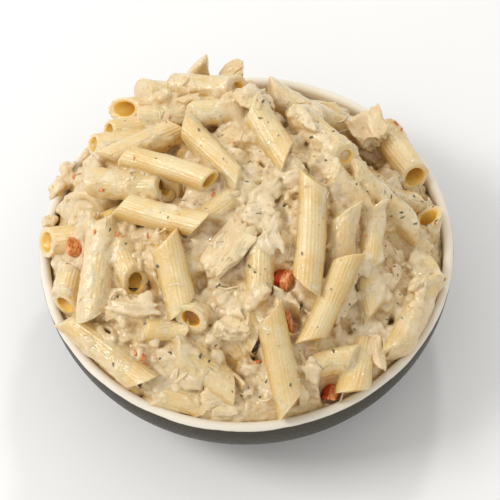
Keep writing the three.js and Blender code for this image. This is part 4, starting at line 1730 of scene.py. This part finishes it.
# %% [markdown]
# ## Herbs, pepper flecks and oil
#
# Dried herbs soften in the dressing to dark crumpled flecks, some grey green, some nearly black.
# Small bits of pepper and drops of orange oil lie between them. Each is a small ball, crumpled by
# noise and flattened, which is enough at a size of 1 or 2 mm.

# %% Herb finish
HERB_GREENS = ((0.20, 0.17, 0.08), (0.38, 0.33, 0.19))
HERB_DARKS = ((0.07, 0.06, 0.035), (0.21, 0.19, 0.13))
finish = start_finish("dried_herb", Specular_IOR_Level=0.3)
patch = add_noise(finish, 260, 2)
fine = add_noise(finish, 1800, 2)
green = mix_colours(finish, fine, *HERB_GREENS)
dark = mix_colours(finish, fine, *HERB_DARKS)
tone = mix_colours(finish, stretch_value(finish, patch, 0.42, 0.58), green, dark)
end_finish(finish, tone, (fine, 0.35, 0.6), [(fine, 0.0001)])
HERB = finish

# %% Herbs
HERBS = 210
HERB_SINK = 0.08
HERB_SMALLEST, HERB_SPREAD = 0.45, 1.3
HERBS_KEPT, HERBS_MORE_RIGHT = 0.55, 0.9
FEWER_ON_PASTA = 0.6
PLACED_HERBS = [
    # place and size
    (12, 54, 1.6), (-17, 50, 1.4), (38, 24, 1.8), (34, 12, 1.9), (46, 2, 1.5), (58, 2, 1.8),
    (52, -3, 2.0), (70, -8, 2.0), (62, -16, 1.8), (58, -28, 2.6), (60, -26, 1.6), (61, -29, 1.6),
    (80, -2, 1.8), (79, -16, 2.0), (81, -28, 2.0), (-20, -64, 2.2), (-14, -60, 1.6), (-36, -62, 2.0),
    (-40, -64, 1.6), (-55, -62, 2.4), (-52, -38, 2.2), (-30, -2, 2.0), (-24, -5, 1.6), (1, -34, 2.2),
    (3, -37, 1.6), (-48, -18, 1.8),
]


def add_fleck(piece, place, normal, size, heading, seed):
    """A small crumpled flake."""
    ball = new_ball(2)
    turn = lying_turn(normal, heading)
    for vert in ball.verts:
        crumple = 1 + 0.8 * noise.noise(vert.co * 1.4 + Vector((seed * 1.9, 0, 0)))
        spot = stretched(vert.co, size) / 2 * crumple
        spot.z += 0.25 * noise.noise(Vector((spot.x, spot.y, seed)) * 1.2)
        vert.co = place + turn @ spot
    add_to(piece, ball)


herbs = bmesh.new()
chance = random.Random(21)
for seed, (x, y, size) in enumerate(PLACED_HERBS):
    place, normal, is_pasta = land(x, y)
    heading = chance.uniform(0, math.tau)
    add_fleck(herbs, place - normal * HERB_SINK, normal, (size * 0.85, size * 0.5, 0.5), heading, seed)
laid = 0
while laid < HERBS:
    x, y = heap_point(chance)
    size = HERB_SMALLEST + HERB_SPREAD * chance.random() ** 2
    shape = (size * chance.uniform(1, 1.6), size * chance.uniform(0.4, 0.8), 0.35)
    heading = chance.uniform(0, math.tau)
    keep = chance.random() < HERBS_KEPT + 0.45 * HERBS_MORE_RIGHT * x / BED_RADIUS
    place, normal, is_pasta = land(x, y)
    if keep and not (is_pasta and chance.random() < FEWER_ON_PASTA):
        add_fleck(herbs, place - normal * HERB_SINK, normal, shape, heading, laid + 100)
        laid += 1
finish_piece("herbs", herbs, HERB)

# %% Pepper flecks
PEPPER_FLECKS = [
    # place and size
    (-81, 36, 2.2), (-73, 35, 3.0), (-71, 33, 1.8), (-57, 4, 2.4), (-29, 38, 1.6), (-51, -14, 2.8),
    (-49, -15, 1.6), (-12, -2, 1.4), (-12, -4, 2.6), (-46, -58, 2.6), (-43, -60, 3.2), (-42, -62, 2.2),
    (68, 48, 3.2), (70, 45, 2.6), (2, -66, 3.0), (-57, 17, 2.2), (-43, 12, 1.8), (-12, 45, 1.4),
    (-39, -16, 2.2), (-60, -14, 2.0), (45, 20, 1.4), (-3, 21, 1.6), (64, 2, 1.2),
]
EXTRA_FLECKS = 26
FLECK_SIZES = (0.6, 1.3)
flecks = bmesh.new()
flesh_layer = flecks.verts.layers.float.new("flesh")
chance = random.Random(31)
places = list(PEPPER_FLECKS)
for turn in range(EXTRA_FLECKS):
    places.append((*heap_point(chance), chance.uniform(*FLECK_SIZES)))
for seed, (x, y, size) in enumerate(places):
    place, normal, is_pasta = land(x, y)
    if place is not None:
        heading = chance.uniform(0, math.tau)
        add_fleck(flecks, place, normal, (size, size * chance.uniform(0.45, 0.8), size * 0.45), heading, seed)
for vert in flecks.verts:
    vert[flesh_layer] = 1
finish_piece("pepper_flecks", flecks, PEPPER_SKIN)

# %% Oil drops
OIL_DROPS = 90
DROP_SIZES = (0.35, 0.8)
OIL_DEEP = (0.80, 0.30, 0.03)
OIL_PALE = (0.85, 0.45, 0.10)
finish = start_finish("orange_oil", Coat_Weight=0.5, Coat_Roughness=0.08)
cloud = add_noise(finish, 500, 2)
tone = mix_colours(finish, stretch_value(finish, cloud, 0.4, 0.6), OIL_DEEP, OIL_PALE)
end_finish(finish, tone, (cloud, 0.12, 0.25), [(cloud, 0.00005)])
drops = bmesh.new()
chance = random.Random(41)
for seed in range(OIL_DROPS):
    size = chance.uniform(*DROP_SIZES)
    place, normal, is_pasta = land(*heap_point(chance))
    add_fleck(drops, place, normal, (size, size, size * 0.4), 0, seed)
finish_piece("oil_drops", drops, finish)

# %% Finish
low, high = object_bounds()
